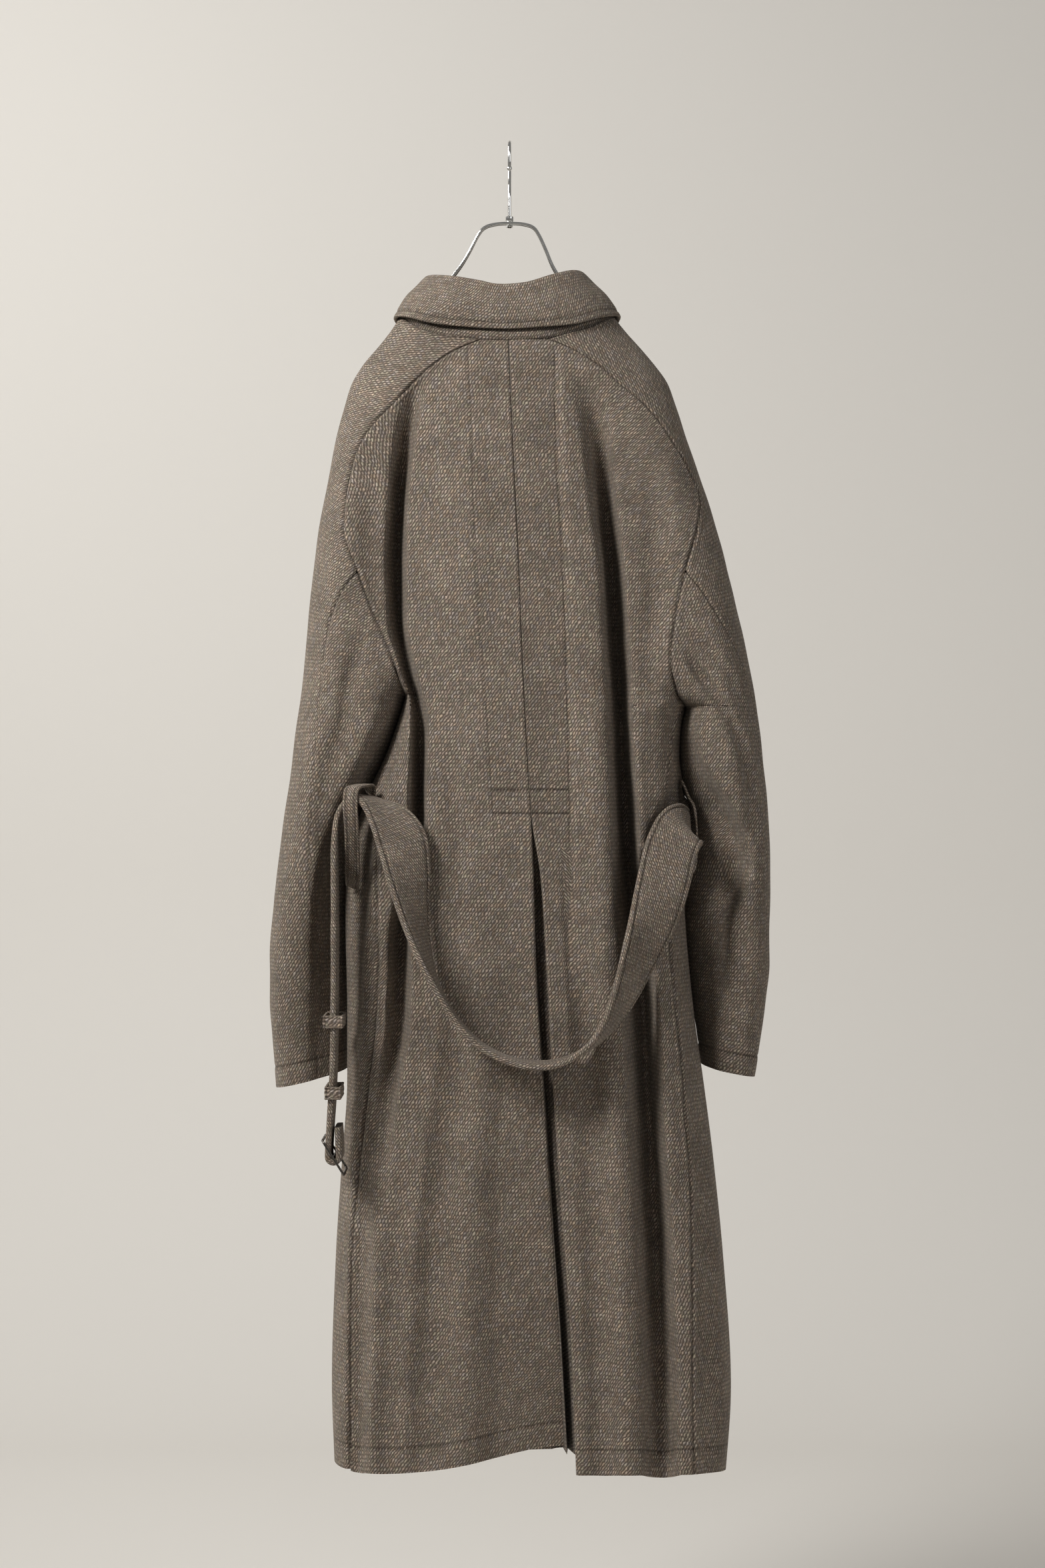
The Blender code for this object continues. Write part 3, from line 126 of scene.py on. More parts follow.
class TweedFinish(bpy.types.PropertyGroup):
    ground: FloatVectorProperty(name="Ground", description="Dark yarn", subtype="COLOR", size=4,
                                default=(0.092, 0.074, 0.060, 1))
    grain: FloatVectorProperty(name="Grain", description="Pale yarn", subtype="COLOR", size=4,
                               default=(0.47, 0.398, 0.322, 1))
    grain_width: FloatProperty(name="Grain Width", description="Pitch across the warp", default=0.0033, unit="LENGTH")
    grain_length: FloatProperty(name="Grain Length", description="Pitch along the warp", default=0.0042, unit="LENGTH")
    relief: FloatProperty(name="Relief", description="Height of the yarns", default=0.0003, unit="LENGTH")


class MetalFinish(bpy.types.PropertyGroup):
    wire: FloatVectorProperty(name="Wire", description="Colour of the plated wire", subtype="COLOR", size=4,
                              default=(0.80, 0.80, 0.78, 1))
    buckle: FloatVectorProperty(name="Buckle", description="Colour of the dark metal", subtype="COLOR", size=4,
                                default=(0.10, 0.09, 0.08, 1))


class StageSettings(bpy.types.PropertyGroup):
    wall: FloatVectorProperty(name="Wall", description="Colour of the wall and floor", subtype="COLOR", size=4,
                              default=(0.80, 0.775, 0.735, 1))
    key: FloatProperty(name="Key", description="Power of the large light", default=38.0)
    fill: FloatProperty(name="Fill", description="Strength of the light from all round", default=0.2)


# ---------------------------------------------------------------- tables of sizes by drop


def smooth(xs, ys, at):
    """Read ys between xs along a cubic that never overshoots them."""
    step = np.diff(xs)
    rise = np.diff(ys) / step
    slope = np.empty_like(ys)
    slope[0], slope[-1] = rise[0], rise[-1]
    product = rise[1:] * rise[:-1]
    total = np.where(product > 0, rise[1:] + rise[:-1], 1.0)
    slope[1:-1] = np.where(product > 0, 2 * product / total, 0.0)
    at = np.clip(at, xs[0], xs[-1])
    i = np.clip(np.searchsorted(xs, at) - 1, 0, len(step) - 1)
    t = (at - xs[i]) / step[i]
    ease = t * t * (3 - 2 * t)
    start_pull = t * (1 - t) ** 2 * slope[i] * step[i]
    end_pull = t * t * (t - 1) * slope[i + 1] * step[i]
    return ys[i] * (1 - ease) + ys[i + 1] * ease + start_pull + end_pull


class Table:
    """Sizes with named columns, one row for each drop."""

    def __init__(self, columns, *rows):
        self.names = columns.split()
        self.rows = np.array(rows, float)

    def at(self, name, drop):
        return smooth(self.rows[:, 0], self.rows[:, self.names.index(name)], drop)


def ease(t):
    t = np.clip(t, 0, 1)
    return t * t * (3 - 2 * t)


def cap(t):
    """A quarter of an ellipse: 0 at the tip of a rounded end, 1 where the end's roundness stops."""
    return np.sqrt(1 - (1 - np.clip(t, 0, 1)) ** 2)


def hump(t):
    """1 in the middle of a crease, 0 from one width away."""
    return np.clip(1 - t * t, 0, 1) ** 2


OUTLINE = Table("drop left right round", (176, -110, 106, 60), (183, -116, 111, 60), (193, -123, 119, 70),
    (213, -138, 136, 88), (234, -155, 153, 84), (255, -167, 167, 76), (276, -173, 175, 68), (318, -183, 189, 60),
    (381, -195, 209, 52), (465, -208, 233, 48), (549, -216, 251, 46), (633, -226, 264, 45), (717, -237, 272, 44),
    (801, -248, 273, 44), (860, -252, 273, 44), (900, -252, 269, 44), (950, -248, 263, 44), (995, -245, 255, 44))

BODY_SIDE = Table("drop left right round_left round_right", (183, -100, 100, 15, 35), (300, -110, 130, 15, 35),
    (450, -116, 160, 15, 35), (545, -119, 166, 15, 35), (579, -109, 175, 15, 35), (591, -112, 184, 20, 35),
    (610, -118, 180, 26, 36), (643, -130, 178, 34, 40), (672, -144, 181, 40, 42), (700, -155, 181, 44, 44),
    (750, -169, 181.4, 50, 48), (812, -172, 184, 54, 52), (911, -170, 193, 56, 54), (982, -170, 203, 56, 54),
    (1060, -175, 213, 56, 54), (1169, -182, 224, 56, 54), (1299, -186, 232, 56, 54), (1390, -183, 226, 56, 54))

SLEEVE_INNER = Table("drop left right round", (579, -109.2, 184.2, 30), (591, -112.4, 184.4, 30),
    (610, -118.4, 180.5, 31), (643, -130.4, 178.5, 32), (672, -144.6, 181.6, 33), (684, -150, 184.5, 33),
    (692, -153.4, 191, 34), (700, -155.6, 194, 34), (740, -167.4, 196.6, 34), (776, -172, 191.5, 34),
    (812, -172.8, 185, 34), (911, -171.2, 194.2, 34), (995, -173.6, 206, 34))

DEPTH = Table("drop centre_back centre_front wing_back wing_front", (176, 52, 40, 46, 38), (213, 62, 50, 56, 46),
    (255, 72, 60, 62, 54), (318, 82, 70, 68, 60), (400, 88, 78, 73, 64), (500, 92, 84, 77, 68), (600, 95, 88, 79, 70),
    (700, 97, 92, 84, 76), (900, 97, 98, 90, 86), (1100, 95, 108, 90, 98), (1390, 90, 120, 86, 110))

SLEEVE = Table("drop back front forward lean", (579, 79, 70, 0, 0.0), (640, 78, 69, 2, 0.06), (700, 76, 68, 5, 0.16),
    (800, 71, 66, 14, 0.34), (900, 66, 64, 26, 0.50), (995, 63, 62, 38, 0.60))

PLEAT = Table("drop left right", (180, -2, -2), (306, 3, 3), (429, 9, 9), (552, 14, 14), (634, 18, 18),
    (705, 22.5, 22.5), (767, 25, 32), (866, 28, 38.5), (1002, 37, 46), (1129, 45, 55), (1242, 53, 63), (1390, 61, 69))

CENTRE_FRONT = Table("drop x", (180, 0), (700, 12), (1390, 30))

BACK_SEAM = {
    "left": Table("drop x", (213, -30), (227, -61), (252, -94), (275, -116), (295, -136), (313, -150), (340, -162),
        (380, -170), (410, -171), (453, -156), (500, -138), (547, -119), (579, -109)),
    "right": Table("drop x", (213, 40), (221, 61), (240, 93), (256, 111), (282, 143), (317, 169), (345, 186),
        (377, 198), (401, 196), (453, 181), (500, 171), (546, 166), (578, 173), (591, 184)),
}
FRONT_SEAM = {
    "left": Table("drop x", (222, -62), (240, -86), (265, -112), (300, -138), (340, -156), (400, -168), (453, -160),
        (500, -142), (547, -122), (579, -109)),
    "right": Table("drop x", (222, 60), (240, 84), (265, 110), (300, 137), (340, 158), (400, 184), (453, 184),
        (500, 176), (546, 172), (591, 184)),
}

SLEEVE_SPLIT = 453
SLEEVE_SEAM = {
    ("left", "back"): Table("drop x", (453, -156), (475, -174), (500, -184), (547, -193), (640, -200), (760, -206),
        (850, -198), (995, -202)),
    ("left", "front"): Table("drop x", (453, -160), (500, -182), (579, -194), (700, -204), (995, -214)),
    ("right", "back"): Table("drop x", (453, 181), (475, 200), (492, 211), (523, 229), (560, 245), (620, 258),
        (700, 266), (860, 268), (995, 250)),
    ("right", "front"): Table("drop x", (453, 184), (500, 205), (591, 232), (700, 242), (995, 236)),
}
SIDE_SEAM = {
    "left": Table("drop x", (579, -109), (610, -114), (700, -140), (760, -137), (845, -135), (934, -140),
        (1034, -151), (1170, -163), (1390, -164)),
    "right": Table("drop x", (591, 184), (610, 172), (643, 167), (700, 160), (825, 165), (889, 170), (992, 179),
        (1100, 187), (1390, 190)),
}

NECKLINE = {
    ("left", "back"): Table("drop x", (183, -116), (188, -110), (194, -103), (200, -92), (207, -73), (213, -30)),
    ("left", "front"): Table("drop x", (183, -116), (190, -113), (198, -106), (207, -94), (215, -80), (222, -62),
        (230, -48), (240, -32), (250, -18), (258, 0)),
    ("right", "back"): Table("drop x", (183, 111), (188, 102), (194, 92), (200, 80), (207, 58), (213, 40)),
    ("right", "front"): Table("drop x", (183, 111), (190, 108), (198, 101), (207, 90), (215, 76), (222, 60),
        (230, 48), (240, 32), (250, 18), (258, 0)),
}

# The pressed line each side of the centre back.
PRESSED = {
    "left": Table("drop x", (230, -43), (306, -39), (432, -35), (494, -31), (678, -18), (760, -14)),
    "right": Table("drop x", (217, 46), (333, 48), (416, 53), (552, 58), (678, 61), (760, 62)),
}


# ---------------------------------------------------------------- folds


class Fold:
    """A trough in one face, or a ridge where deep is negative: where it runs, how deep it is, and how wide
    towards and away from the centre. Its name starts with its side."""

    def __init__(self, name, face, on, *rows):
        self.side, self.face, self.on = name.split()[0], face, on
        self.table = Table("drop x deep towards away", *rows)

    def read(self, drop):
        first, last = self.table.rows[0, 0], self.table.rows[-1, 0]
        if not first <= drop <= last:
            return None
        return tuple(float(self.table.at(name, drop)) for name in ("x", "deep", "towards", "away"))


BODY_LINES = ("coat", "body")
ARM_LINES = ("coat", "sleeve")
FOLDS = (
    Fold("left groove", "back", BODY_LINES,
        (248, -92, 0, 16, 18), (305, -105, 24, 13, 15), (384, -113, 50, 10, 15), (447, -115, 54, 10, 15),
        (500, -114, 50, 11, 14), (547, -107, 40, 12, 9), (565, -103, 38, 12, 7), (579, -98, 38, 12, 7),
        (605, -93, 42, 11, 10), (620, -92, 46, 10, 12), (703, -92, 52, 9, 14), (760, -99, 50, 9, 15),
        (831, -110, 48, 10, 16), (910, -112, 42, 12, 16), (1000, -125, 24, 13, 17), (1060, -133, 10, 15, 18),
        (1140, -140, 0, 15, 18)),
    Fold("right groove", "back", BODY_LINES,
        (252, 79, 0, 24, 20), (305, 91, 20, 22, 17), (400, 102, 50, 20, 13), (463, 108, 58, 18, 13),
        (541, 113, 62, 18, 13), (643, 118, 64, 18, 13), (765, 125, 66, 20, 14), (907, 140, 66, 26, 15),
        (1027, 146, 62, 26, 16), (1155, 153, 56, 26, 17), (1282, 157, 40, 26, 18), (1390, 159, 24, 26, 18)),
    Fold("right belt fold", "back", ("body",),
        (650, 176, 0, 12, 30), (680, 170, 30, 12, 30), (706, 160, 38, 12, 30), (734, 148, 34, 12, 26),
        (765, 140, 22, 12, 22), (800, 136, 0, 12, 20)),
    Fold("left side shelf", "back", ("body",),
        (640, -140, 0, 10, 300), (700, -148, 20, 10, 300), (760, -150, 30, 10, 300), (830, -156, 28, 10, 300),
        (910, -161, 20, 10, 300), (1000, -168, 0, 10, 300)),
    Fold("left pleat recess", "back", ("body",),
        (760, 26, 0, 40, 120), (1002, 37, 10, 40, 130), (1242, 53, 28, 40, 150), (1390, 61, 42, 40, 165)),
    Fold("left sleeve shelf", "back", ("sleeve",),
        (600, -112, 0, 300, 16), (667, -145, 22, 300, 18), (700, -159, 31, 300, 20), (741, -174, 35, 300, 22),
        (775, -182, 35, 300, 22), (831, -186, 32, 300, 22), (900, -188, 20, 300, 22), (995, -192, 4, 300, 20)),
    Fold("right sleeve shelf", "back", ("sleeve",),
        (615, 184, 0, 300, 12), (649, 190, 24, 300, 14), (696, 216, 40, 300, 18), (748, 234, 42, 300, 22),
        (827, 212, 34, 300, 22), (900, 209, 20, 300, 22), (995, 206, 6, 300, 20)),
    Fold("left front groove", "front", BODY_LINES,
        (280, -84, 0, 24, 24), (400, -88, 20, 20, 20), (579, -76, 22, 20, 16), (900, -96, 30, 22, 22),
        (1200, -112, 26, 26, 26), (1390, -118, 22, 28, 28)),
    Fold("right front groove", "front", BODY_LINES,
        (300, 112, 0, 18, 18), (430, 118, 16, 18, 18), (640, 122, 22, 18, 18), (940, 136, 28, 20, 20),
        (1240, 152, 26, 22, 22), (1390, 158, 20, 24, 24)),
    Fold("left wing slope", "back", BODY_LINES,
        (270, -112, 0, 12, 30), (340, -122, 7.0, 14, 44), (450, -128, 10.0, 16, 48), (530, -120, 5.0, 14, 26),
        (590, -110, 1.0, 10, 20), (760, -114, 7.0, 14, 36), (900, -126, 9.0, 14, 40), (1060, -146, 6.0, 14, 36),
        (1160, -150, 0, 14, 30)),
    Fold("right wing trough", "back", ("coat",),
        (300, 150, 0, 16, 20), (380, 152, 3.0, 20, 22), (470, 150, 5.0, 20, 20), (540, 147, 4.0, 16, 16),
        (591, 146, 2, 14, 16)),
    Fold("right wing trough below", "back", ("body",),
        (591, 146, 2, 14, 16), (650, 146, 4, 14, 18), (760, 152, 3, 14, 18), (860, 156, 0, 14, 18)),
    Fold("left wing trough", "back", ("coat",),
        (300, -136, 0, 16, 18), (345, -143, 3.0, 18, 18), (400, -146, 3.5, 18, 16), (470, -138, 2.0, 14, 12),
        (540, -126, 0, 12, 10)),
    Fold("left middle trough", "back", BODY_LINES,
        (560, -60, 0, 18, 18), (640, -57, 2.5, 20, 18), (740, -53, 5.8, 20, 18), (860, -52, 4.3, 20, 20),
        (1000, -62, 6.5, 24, 22), (1140, -76, 10.2, 28, 24), (1280, -84, 11.6, 30, 26), (1390, -90, 11.6, 30, 28)),
    Fold("left middle ridge", "back", ("body",),
        (760, -20, 0, 22, 26), (900, -22, -4.3, 24, 26), (1060, -34, -7.2, 26, 28), (1240, -40, -8.7, 30, 30),
        (1390, -42, -8.7, 32, 32)),
    Fold("left lower trough", "back", ("body",),
        (980, -150, 0, 14, 12), (1080, -152, 10.2, 16, 13), (1200, -155, 15.9, 18, 14), (1390, -158, 17.4, 18, 15)),
    Fold("left outer trough", "back", ("body",),
        (1060, -112, 0, 18, 20), (1180, -118, 5.8, 20, 20), (1300, -122, 8.7, 22, 20), (1390, -124, 8.7, 24, 20)),
    Fold("right middle trough", "back", ("body",),
        (720, 62, 0, 14, 18), (800, 66, 4.3, 14, 20), (940, 76, 7.2, 16, 22), (1080, 84, 5.8, 18, 24),
        (1240, 92, 7.2, 20, 24), (1390, 96, 8.7, 20, 24)),
    Fold("right middle ridge", "back", BODY_LINES,
        (420, 84, 0, 16, 16), (560, 88, -3.0, 18, 16), (720, 93, -7.2, 20, 18), (900, 102, -8.7, 20, 18),
        (1100, 112, -8.7, 22, 20), (1390, 122, -8.7, 22, 20)),
    Fold("right lower trough", "back", ("body",),
        (940, 190, 0, 16, 14), (1040, 197, 6.0, 18, 14), (1200, 204, 8.0, 18, 16), (1390, 206, 9.0, 18, 16)),
    Fold("left arm crease", "back", ("coat",),
        (430, -186, 0, 10, 10), (452, -196, 2.5, 9, 9), (470, -205, 4.0, 8, 9), (480, -212, 4.0, 8, 9),
        (490, -218, 0, 8, 9)),
    Fold("left elbow fold", "back", ARM_LINES,
        (500, -150, 0, 10, 12), (540, -157, 4.0, 10, 13), (572, -165, 7.0, 11, 14), (600, -168, 7.5, 12, 14),
        (640, -180, 6.0, 12, 16), (690, -192, 4.0, 14, 16), (740, -204, 0, 14, 16)),
    Fold("left elbow bulge", "back", ("sleeve",),
        (590, -132, 0, 12, 12), (620, -146, -3.5, 14, 14), (660, -160, -4.0, 14, 14), (710, -176, 0, 12, 14)),
    Fold("right arm fold", "back", ARM_LINES,
        (530, 178, 0, 8, 8), (548, 190, 5.0, 11, 8), (561, 199, 9.0, 14, 9), (595, 221, 11.0, 17, 10),
        (626, 238, 10.0, 17, 9), (672, 250, 8.0, 17, 8), (740, 256, 4.0, 16, 8), (800, 260, 0, 14, 7)),
    Fold("right arm ridge", "back", ARM_LINES,
        (525, 172, 0, 8, 8), (548, 181, -2.5, 9, 8), (583, 207, -4.0, 12, 10), (611, 222, -4.0, 12, 10),
        (672, 238, -3.0, 12, 10), (740, 246, 0, 12, 10)),
    Fold("right upper arm fold", "back", ARM_LINES,
        (492, 178, 0, 8, 8), (510, 187, 2.5, 9, 9), (540, 211, 4.5, 11, 9), (562, 229, 4.0, 11, 8),
        (600, 243, 2.0, 10, 7), (640, 252, 0, 10, 7)),
    Fold("right inner arm fold", "back", ("sleeve",),
        (640, 200, 0, 10, 12), (700, 224, 3.5, 12, 14), (780, 236, 5.0, 14, 16), (860, 240, 3.0, 14, 16),
        (920, 240, 0, 14, 16)),
    Fold("right cuff fold", "back", ("sleeve",),
        (780, 226, 0, 12, 14), (860, 228, 5.0, 14, 16), (940, 232, 5.0, 14, 16), (1000, 234, 4, 14, 16)),
    Fold("left front ridge", "front", BODY_LINES,
        (420, -40, 0, 22, 22), (620, -38, -5.0, 24, 24), (900, -46, -8.0, 26, 26), (1200, -54, -10.0, 30, 30),
        (1390, -58, -8.0, 32, 32)),
    Fold("right front ridge", "front", BODY_LINES,
        (420, 74, 0, 18, 18), (620, 80, -4.0, 20, 20), (900, 92, -6.0, 22, 22), (1200, 104, -7.0, 24, 24),
        (1390, 110, -6.0, 26, 26)),
    Fold("right front side trough", "front", ("body",),
        (760, 184, 0, 12, 12), (900, 188, 5.0, 14, 12), (1120, 198, 8.0, 16, 14), (1390, 204, 8.0, 18, 14)),
    Fold("left front side trough", "front", ("body",),
        (820, -146, 0, 12, 12), (1000, -150, 5.0, 14, 12), (1200, -156, 8.0, 16, 14), (1390, -160, 8.0, 18, 14)),
    Fold("left front arm fold", "front", ("sleeve",),
        (640, -190, 0, 12, 12), (740, -204, 5.0, 14, 12), (860, -212, 5.0, 14, 12), (960, -216, 0, 12, 12)),
    Fold("right front arm fold", "front", ("sleeve",),
        (620, 216, 0, 12, 12), (720, 228, 5.0, 14, 12), (840, 236, 5.0, 14, 12), (950, 238, 0, 12, 12)),
)


@functools.lru_cache(maxsize=None)
def folds_at(side, face, line, drop):
    """The folds that cross one face at this drop, each as x, depth and its two widths."""
    read = [fold.read(drop) for fold in FOLDS if (fold.side, fold.face) == (side, face) and line in fold.on]
    return [row for row in read if row is not None and abs(row[1]) > 1e-6]


def fold_depth(side, face, line, x, drop):
    sign = SIDES[side]
    depth = np.zeros_like(x)
    for at, deep, towards, away in folds_at(side, face, line, drop):
        out = sign * (x - at)
        depth += deep * hump(np.abs(out) / np.where(out > 0, away, towards))
    return depth


def armhole_pinch(side, face, x, drop):
    """How far the two faces are kept apart above the underarm: they close in to meet at its lowest point."""
    above = UNDERARM[side] - drop
    if above >= ARMHOLE_ROUND:
        return 1.0
    open_here = cap(above / ARMHOLE_ROUND)
    seam = BACK_SEAM if face == "back" else FRONT_SEAM
    out = SIDES[side] * (x - seam[side].at("x", drop))
    rounding = np.where(out > 0, SLEEVE_INNER.rows[0, 3], BODY_SIDE.at("round_" + side, UNDERARM[side]))
    return open_here + (1 - open_here) * cap(np.abs(out) / rounding)


def face_line(side, face, line, x, drop):
    """The y of one face of the coat at each x of a level line. A lapped front follows the other side's shape."""
    if face == "front" and line != "sleeve":
        beyond = SIDES[side] * (x - CENTRE_FRONT.at("x", drop)) < 0
        other = "right" if side == "left" else "left"
        return np.where(beyond, half_face(other, face, line, x, drop), half_face(side, face, line, x, drop))
    return half_face(side, face, line, x, drop)


def half_face(side, face, line, x, drop):
    sign = SIDES[side]
    outward = -1 if face == "back" else 1
    if line == "sleeve":
        outer, inner = OUTLINE.at(side, drop), SLEEVE_INNER.at(side, drop)
        half = SLEEVE.at(face, drop) - fold_depth(side, face, line, x, drop)
        half = np.maximum(half, SLEEVE.at(face, drop) * (1 - DEEPEST))
        from_outer = sign * (outer - x)
        ends = cap(from_outer / OUTLINE.at("round", drop)) * cap(sign * (x - inner) / SLEEVE_INNER.at("round", drop))
        width = abs(outer - inner)
        middle = SLEEVE.at("forward", drop) + SLEEVE.at("lean", drop) * (from_outer - width / 2)
        return middle + outward * half * ends
    centre = PLEAT.at(side, drop) if face == "back" else CENTRE_FRONT.at("x", drop)
    body_side = BODY_SIDE.at(side, drop)
    towards_side = ease((np.abs(x - centre) / abs(body_side - centre) - 0.3) / 0.7)
    middle_depth, wing = DEPTH.at("centre_" + face, drop), DEPTH.at("wing_" + face, drop)
    full = middle_depth + (wing - middle_depth) * towards_side
    half = np.maximum(full - fold_depth(side, face, line, x, drop), full * (1 - DEEPEST))
    if line == "coat":
        ends = cap(sign * (OUTLINE.at(side, drop) - x) / OUTLINE.at("round", drop))
        ends = ends * armhole_pinch(side, face, x, drop)
    else:
        ends = cap(sign * (body_side - x) / BODY_SIDE.at("round_" + side, drop))
    return outward * half * ends


# ---------------------------------------------------------------- level lines


class Line:
    """A level line of the coat, with the length along it and the way that points out of the cloth."""

    def __init__(self, points, facing, faces):
        self.outer = points
        step = np.diff(points, axis=0)
        size = np.maximum(np.linalg.norm(step, axis=1), 1e-9)
        normal = facing * np.column_stack((-step[:, 1], step[:, 0])) / size[:, None]
        both = np.vstack((normal[:1], normal)) + np.vstack((normal, normal[-1:]))
        self.normal = both / np.maximum(np.linalg.norm(both, axis=1), 1e-9)[:, None]
        self.length = np.concatenate(([0.0], np.cumsum(size)))
        self.faces = faces

    def at(self, face, x):
        """The length along the line where one face reaches x."""
        start, end = self.faces[face]
        xs, lengths = self.outer[start:end, 0], self.length[start:end]
        order = 1 if xs[-1] > xs[0] else -1
        return float(np.interp(x, xs[::order], lengths[::order]))

    def read(self, lengths):
        places = np.column_stack([np.interp(lengths, self.length, self.outer[:, k]) for k in (0, 1)])
        normals = np.column_stack([np.interp(lengths, self.length, self.normal[:, k]) for k in (0, 1)])
        return places, normals / np.maximum(np.linalg.norm(normals, axis=1), 1e-6)[:, None]

    @property
    def ridge(self):
        """The length at which the line turns from the back to the front."""
        return self.length[self.faces["back"][1] - 1]


def face_points(side, face, line, start, end, drop):
    turn = np.linspace(0, math.pi / 2, LINE_POINTS)
    x = start + (end - start) * np.sin(turn)
    return np.column_stack((x, face_line(side, face, line, x, drop)))


def turned_edge(side, drop):
    """The edge turned back inside along the centre back seam and the pleat, from its raw edge round the fold."""
    sign = SIDES[side]
    line = "coat" if drop < UNDERARM[side] else "body"
    edge = PLEAT.at(side, drop) + sign * SEAM_GAP / 2
    pleat = ease((drop - PLEAT_TOP) / 60)
    width = SEAM_ALLOWANCE + (PLEAT_RETURN - SEAM_ALLOWANCE) * pleat
    roll = 1.2 + 1.9 * pleat
    xs = edge + sign * (roll + (width - roll) * np.array([1, 0.8, 0.6, 0.4, 0.2, 0]))
    ys = face_line(side, "back", line, xs, drop) + TURN_BACK
    flap = np.column_stack((xs, ys))
    turn = np.radians(np.linspace(90, -90, 9)[1:-1])
    arc = np.column_stack((edge + sign * roll * (1 - np.cos(turn)),
                           ys[-1] - TURN_BACK + TURN_BACK / 2 * (1 + np.sin(turn))))
    return np.vstack((flap, arc)), edge + sign * roll


def lap_under(side, points, drop):
    """The right front passes under the left one, so its last stretch lies further in."""
    if side == "right":
        x, centre = points[:, 0], CENTRE_FRONT.at("x", drop)
        points[:, 1] -= LAP_STEP * ease((centre + FRONT_LAP + 14 - x) / 10)
    return points


@functools.lru_cache(maxsize=None)
def half_line(side, line, drop):
    """Half a level line, from the centre back round the side to the centre front."""
    end = OUTLINE.at(side, drop) if line == "coat" else BODY_SIDE.at(side, drop)
    turned, start = turned_edge(side, drop)
    back = face_points(side, "back", line, start, end, drop)
    lap_edge = CENTRE_FRONT.at("x", drop) + (FRONT_LAP if side == "left" else -FRONT_LAP / 2)
    front = lap_under(side, face_points(side, "front", line, lap_edge, end, drop), drop)
    points = np.vstack((turned, back, front[-2::-1]))
    first = len(turned)
    faces = {"back": (first, first + len(back)), "front": (first + len(back) - 1, len(points))}
    return Line(points, -SIDES[side], faces)


@functools.lru_cache(maxsize=None)
def sleeve_line(side, drop):
    """A sleeve's own level line, from its inner end along the back, round the outside and home."""
    outer, inner = OUTLINE.at(side, drop), SLEEVE_INNER.at(side, drop)
    middle = (outer + inner) / 2
    pieces = []
    for face, start, end in (("back", inner, middle), ("back", outer, middle), ("front", outer, middle),
                             ("front", inner, middle)):
        turn = np.linspace(0, math.pi / 2, LINE_POINTS // 2)
        x = start + (end - start) * (1 - np.cos(turn))
        run = np.column_stack((x, face_line(side, face, "sleeve", x, drop)))
        pieces.append(run if len(pieces) % 2 == 0 else run[::-1])
    points = np.vstack((pieces[0], pieces[1][1:], pieces[2][1:], pieces[3][1:]))
    half = len(pieces[0]) + len(pieces[1]) - 1
    return Line(points, -SIDES[side], {"back": (0, half), "front": (half - 1, len(points))})


def cloth_line(side, drop):
    return half_line(side, "coat" if drop < UNDERARM[side] else "body", drop)


def arm_line(side, drop):
    return half_line(side, "coat", drop) if drop < UNDERARM[side] else sleeve_line(side, drop)


def settle(lengths, low, high):
    """Keep stations in order, a little apart, between the piece's two edges."""
    count = len(lengths)
    apart = min(0.8, (high - low) / (count + 2))
    kept = []
    for i, value in enumerate(lengths):
        floor = (kept[-1] if kept else low) + apart
        kept.append(min(max(value, floor), high - apart * (count - i)))
    return kept


def fill(anchors, counts):
    """Stations from one anchor to the next, as many steps in each stretch as counts says."""
    runs = [np.linspace(a, b, n + 1)[:-1] for a, b, n in zip(anchors, anchors[1:], counts)]
    return np.concatenate(runs + [[anchors[-1]]])


def level_rows(first, last, step, creases=(), tips=()):
    """Drops of the rows, even but for closer ones across creases and beside the tips where faces meet."""
    close = [c + o for c in creases for o in (-3.6, -2.2, -1.1, 0, 1.1, 2.2, 3.6)]
    close += [t + o for t in tips for o in (-10, -6, -3.4, -1.6, -0.6, -0.12, 0.12, 1.2, 3, 6)]
    close = sorted(c for c in close if first < c < last)
    even = np.linspace(first, last, max(2, round((last - first) / step) + 1))
    kept = [e for e in even if not close or min(abs(e - c) for c in close) > 1.0 or e in (first, last)]
    return [float(d) for d in sorted(kept + close)]


# ---------------------------------------------------------------- the cloth's surface


def seam_sink(away, sizes, along):
    """A seam draws the cloth in beside it, a little more at each stitch."""
    stitches = 1 + 0.22 * np.cos(2 * math.pi * along / (sizes.stitch / MM))
    pressed = 0.55 * np.exp(-(((away - 4.2) / 1.8) ** 2)) - 0.35 * np.exp(-(((away - 8.0) / 1.4) ** 2))
    return -sizes.seam_sink / MM * np.exp(-((away / 2.0) ** 2)) * stitches + pressed


def meet(lift, side, points, drop, rise=0.4):
    """Even out the lift where the body's side and the sleeve's inner end face each other under the arm."""
    close = ease((drop - UNDERARM[side] + 12) / 10)
    beside = np.abs(points[:, 0] - BODY_SIDE.at(side, max(drop, UNDERARM[side])))
    facing = close * hump(np.clip(points[:, 1] / 62, -1, 1)) * ease((34 - beside) / 14)
    return lift * (1 - facing) + rise * facing


def beside_loop(points):
    """1 along the stretch of the right side that can be seen past the belt's loop, 0 elsewhere."""
    return ease((points[:, 1] - 2) / 14) * ease((66 - points[:, 1]) / 14)


def side_bulge(points, drop):
    """How far the coat's right side stands out above the belt, nearly as far as the sleeve."""
    room = min(float(SLEEVE_INNER.at("right", drop)) - 0.8, 191) - float(BODY_SIDE.at("right", drop))
    return max(room + 1.5, 0) * ease((drop - BULGE[0]) / 6) * beside_loop(points) * (points[:, 0] > 150)


def painted_line_shade(away, sizes, along, reach=0.9, dark=0.8):
    """Painted shade along a line of stitches or a seam: darkest at its middle, a little darker at every stitch."""
    return dark * np.exp(-((away / reach) ** 2)) * (0.8 + 0.2 * np.cos(2 * math.pi * along / (sizes.stitch / MM)))


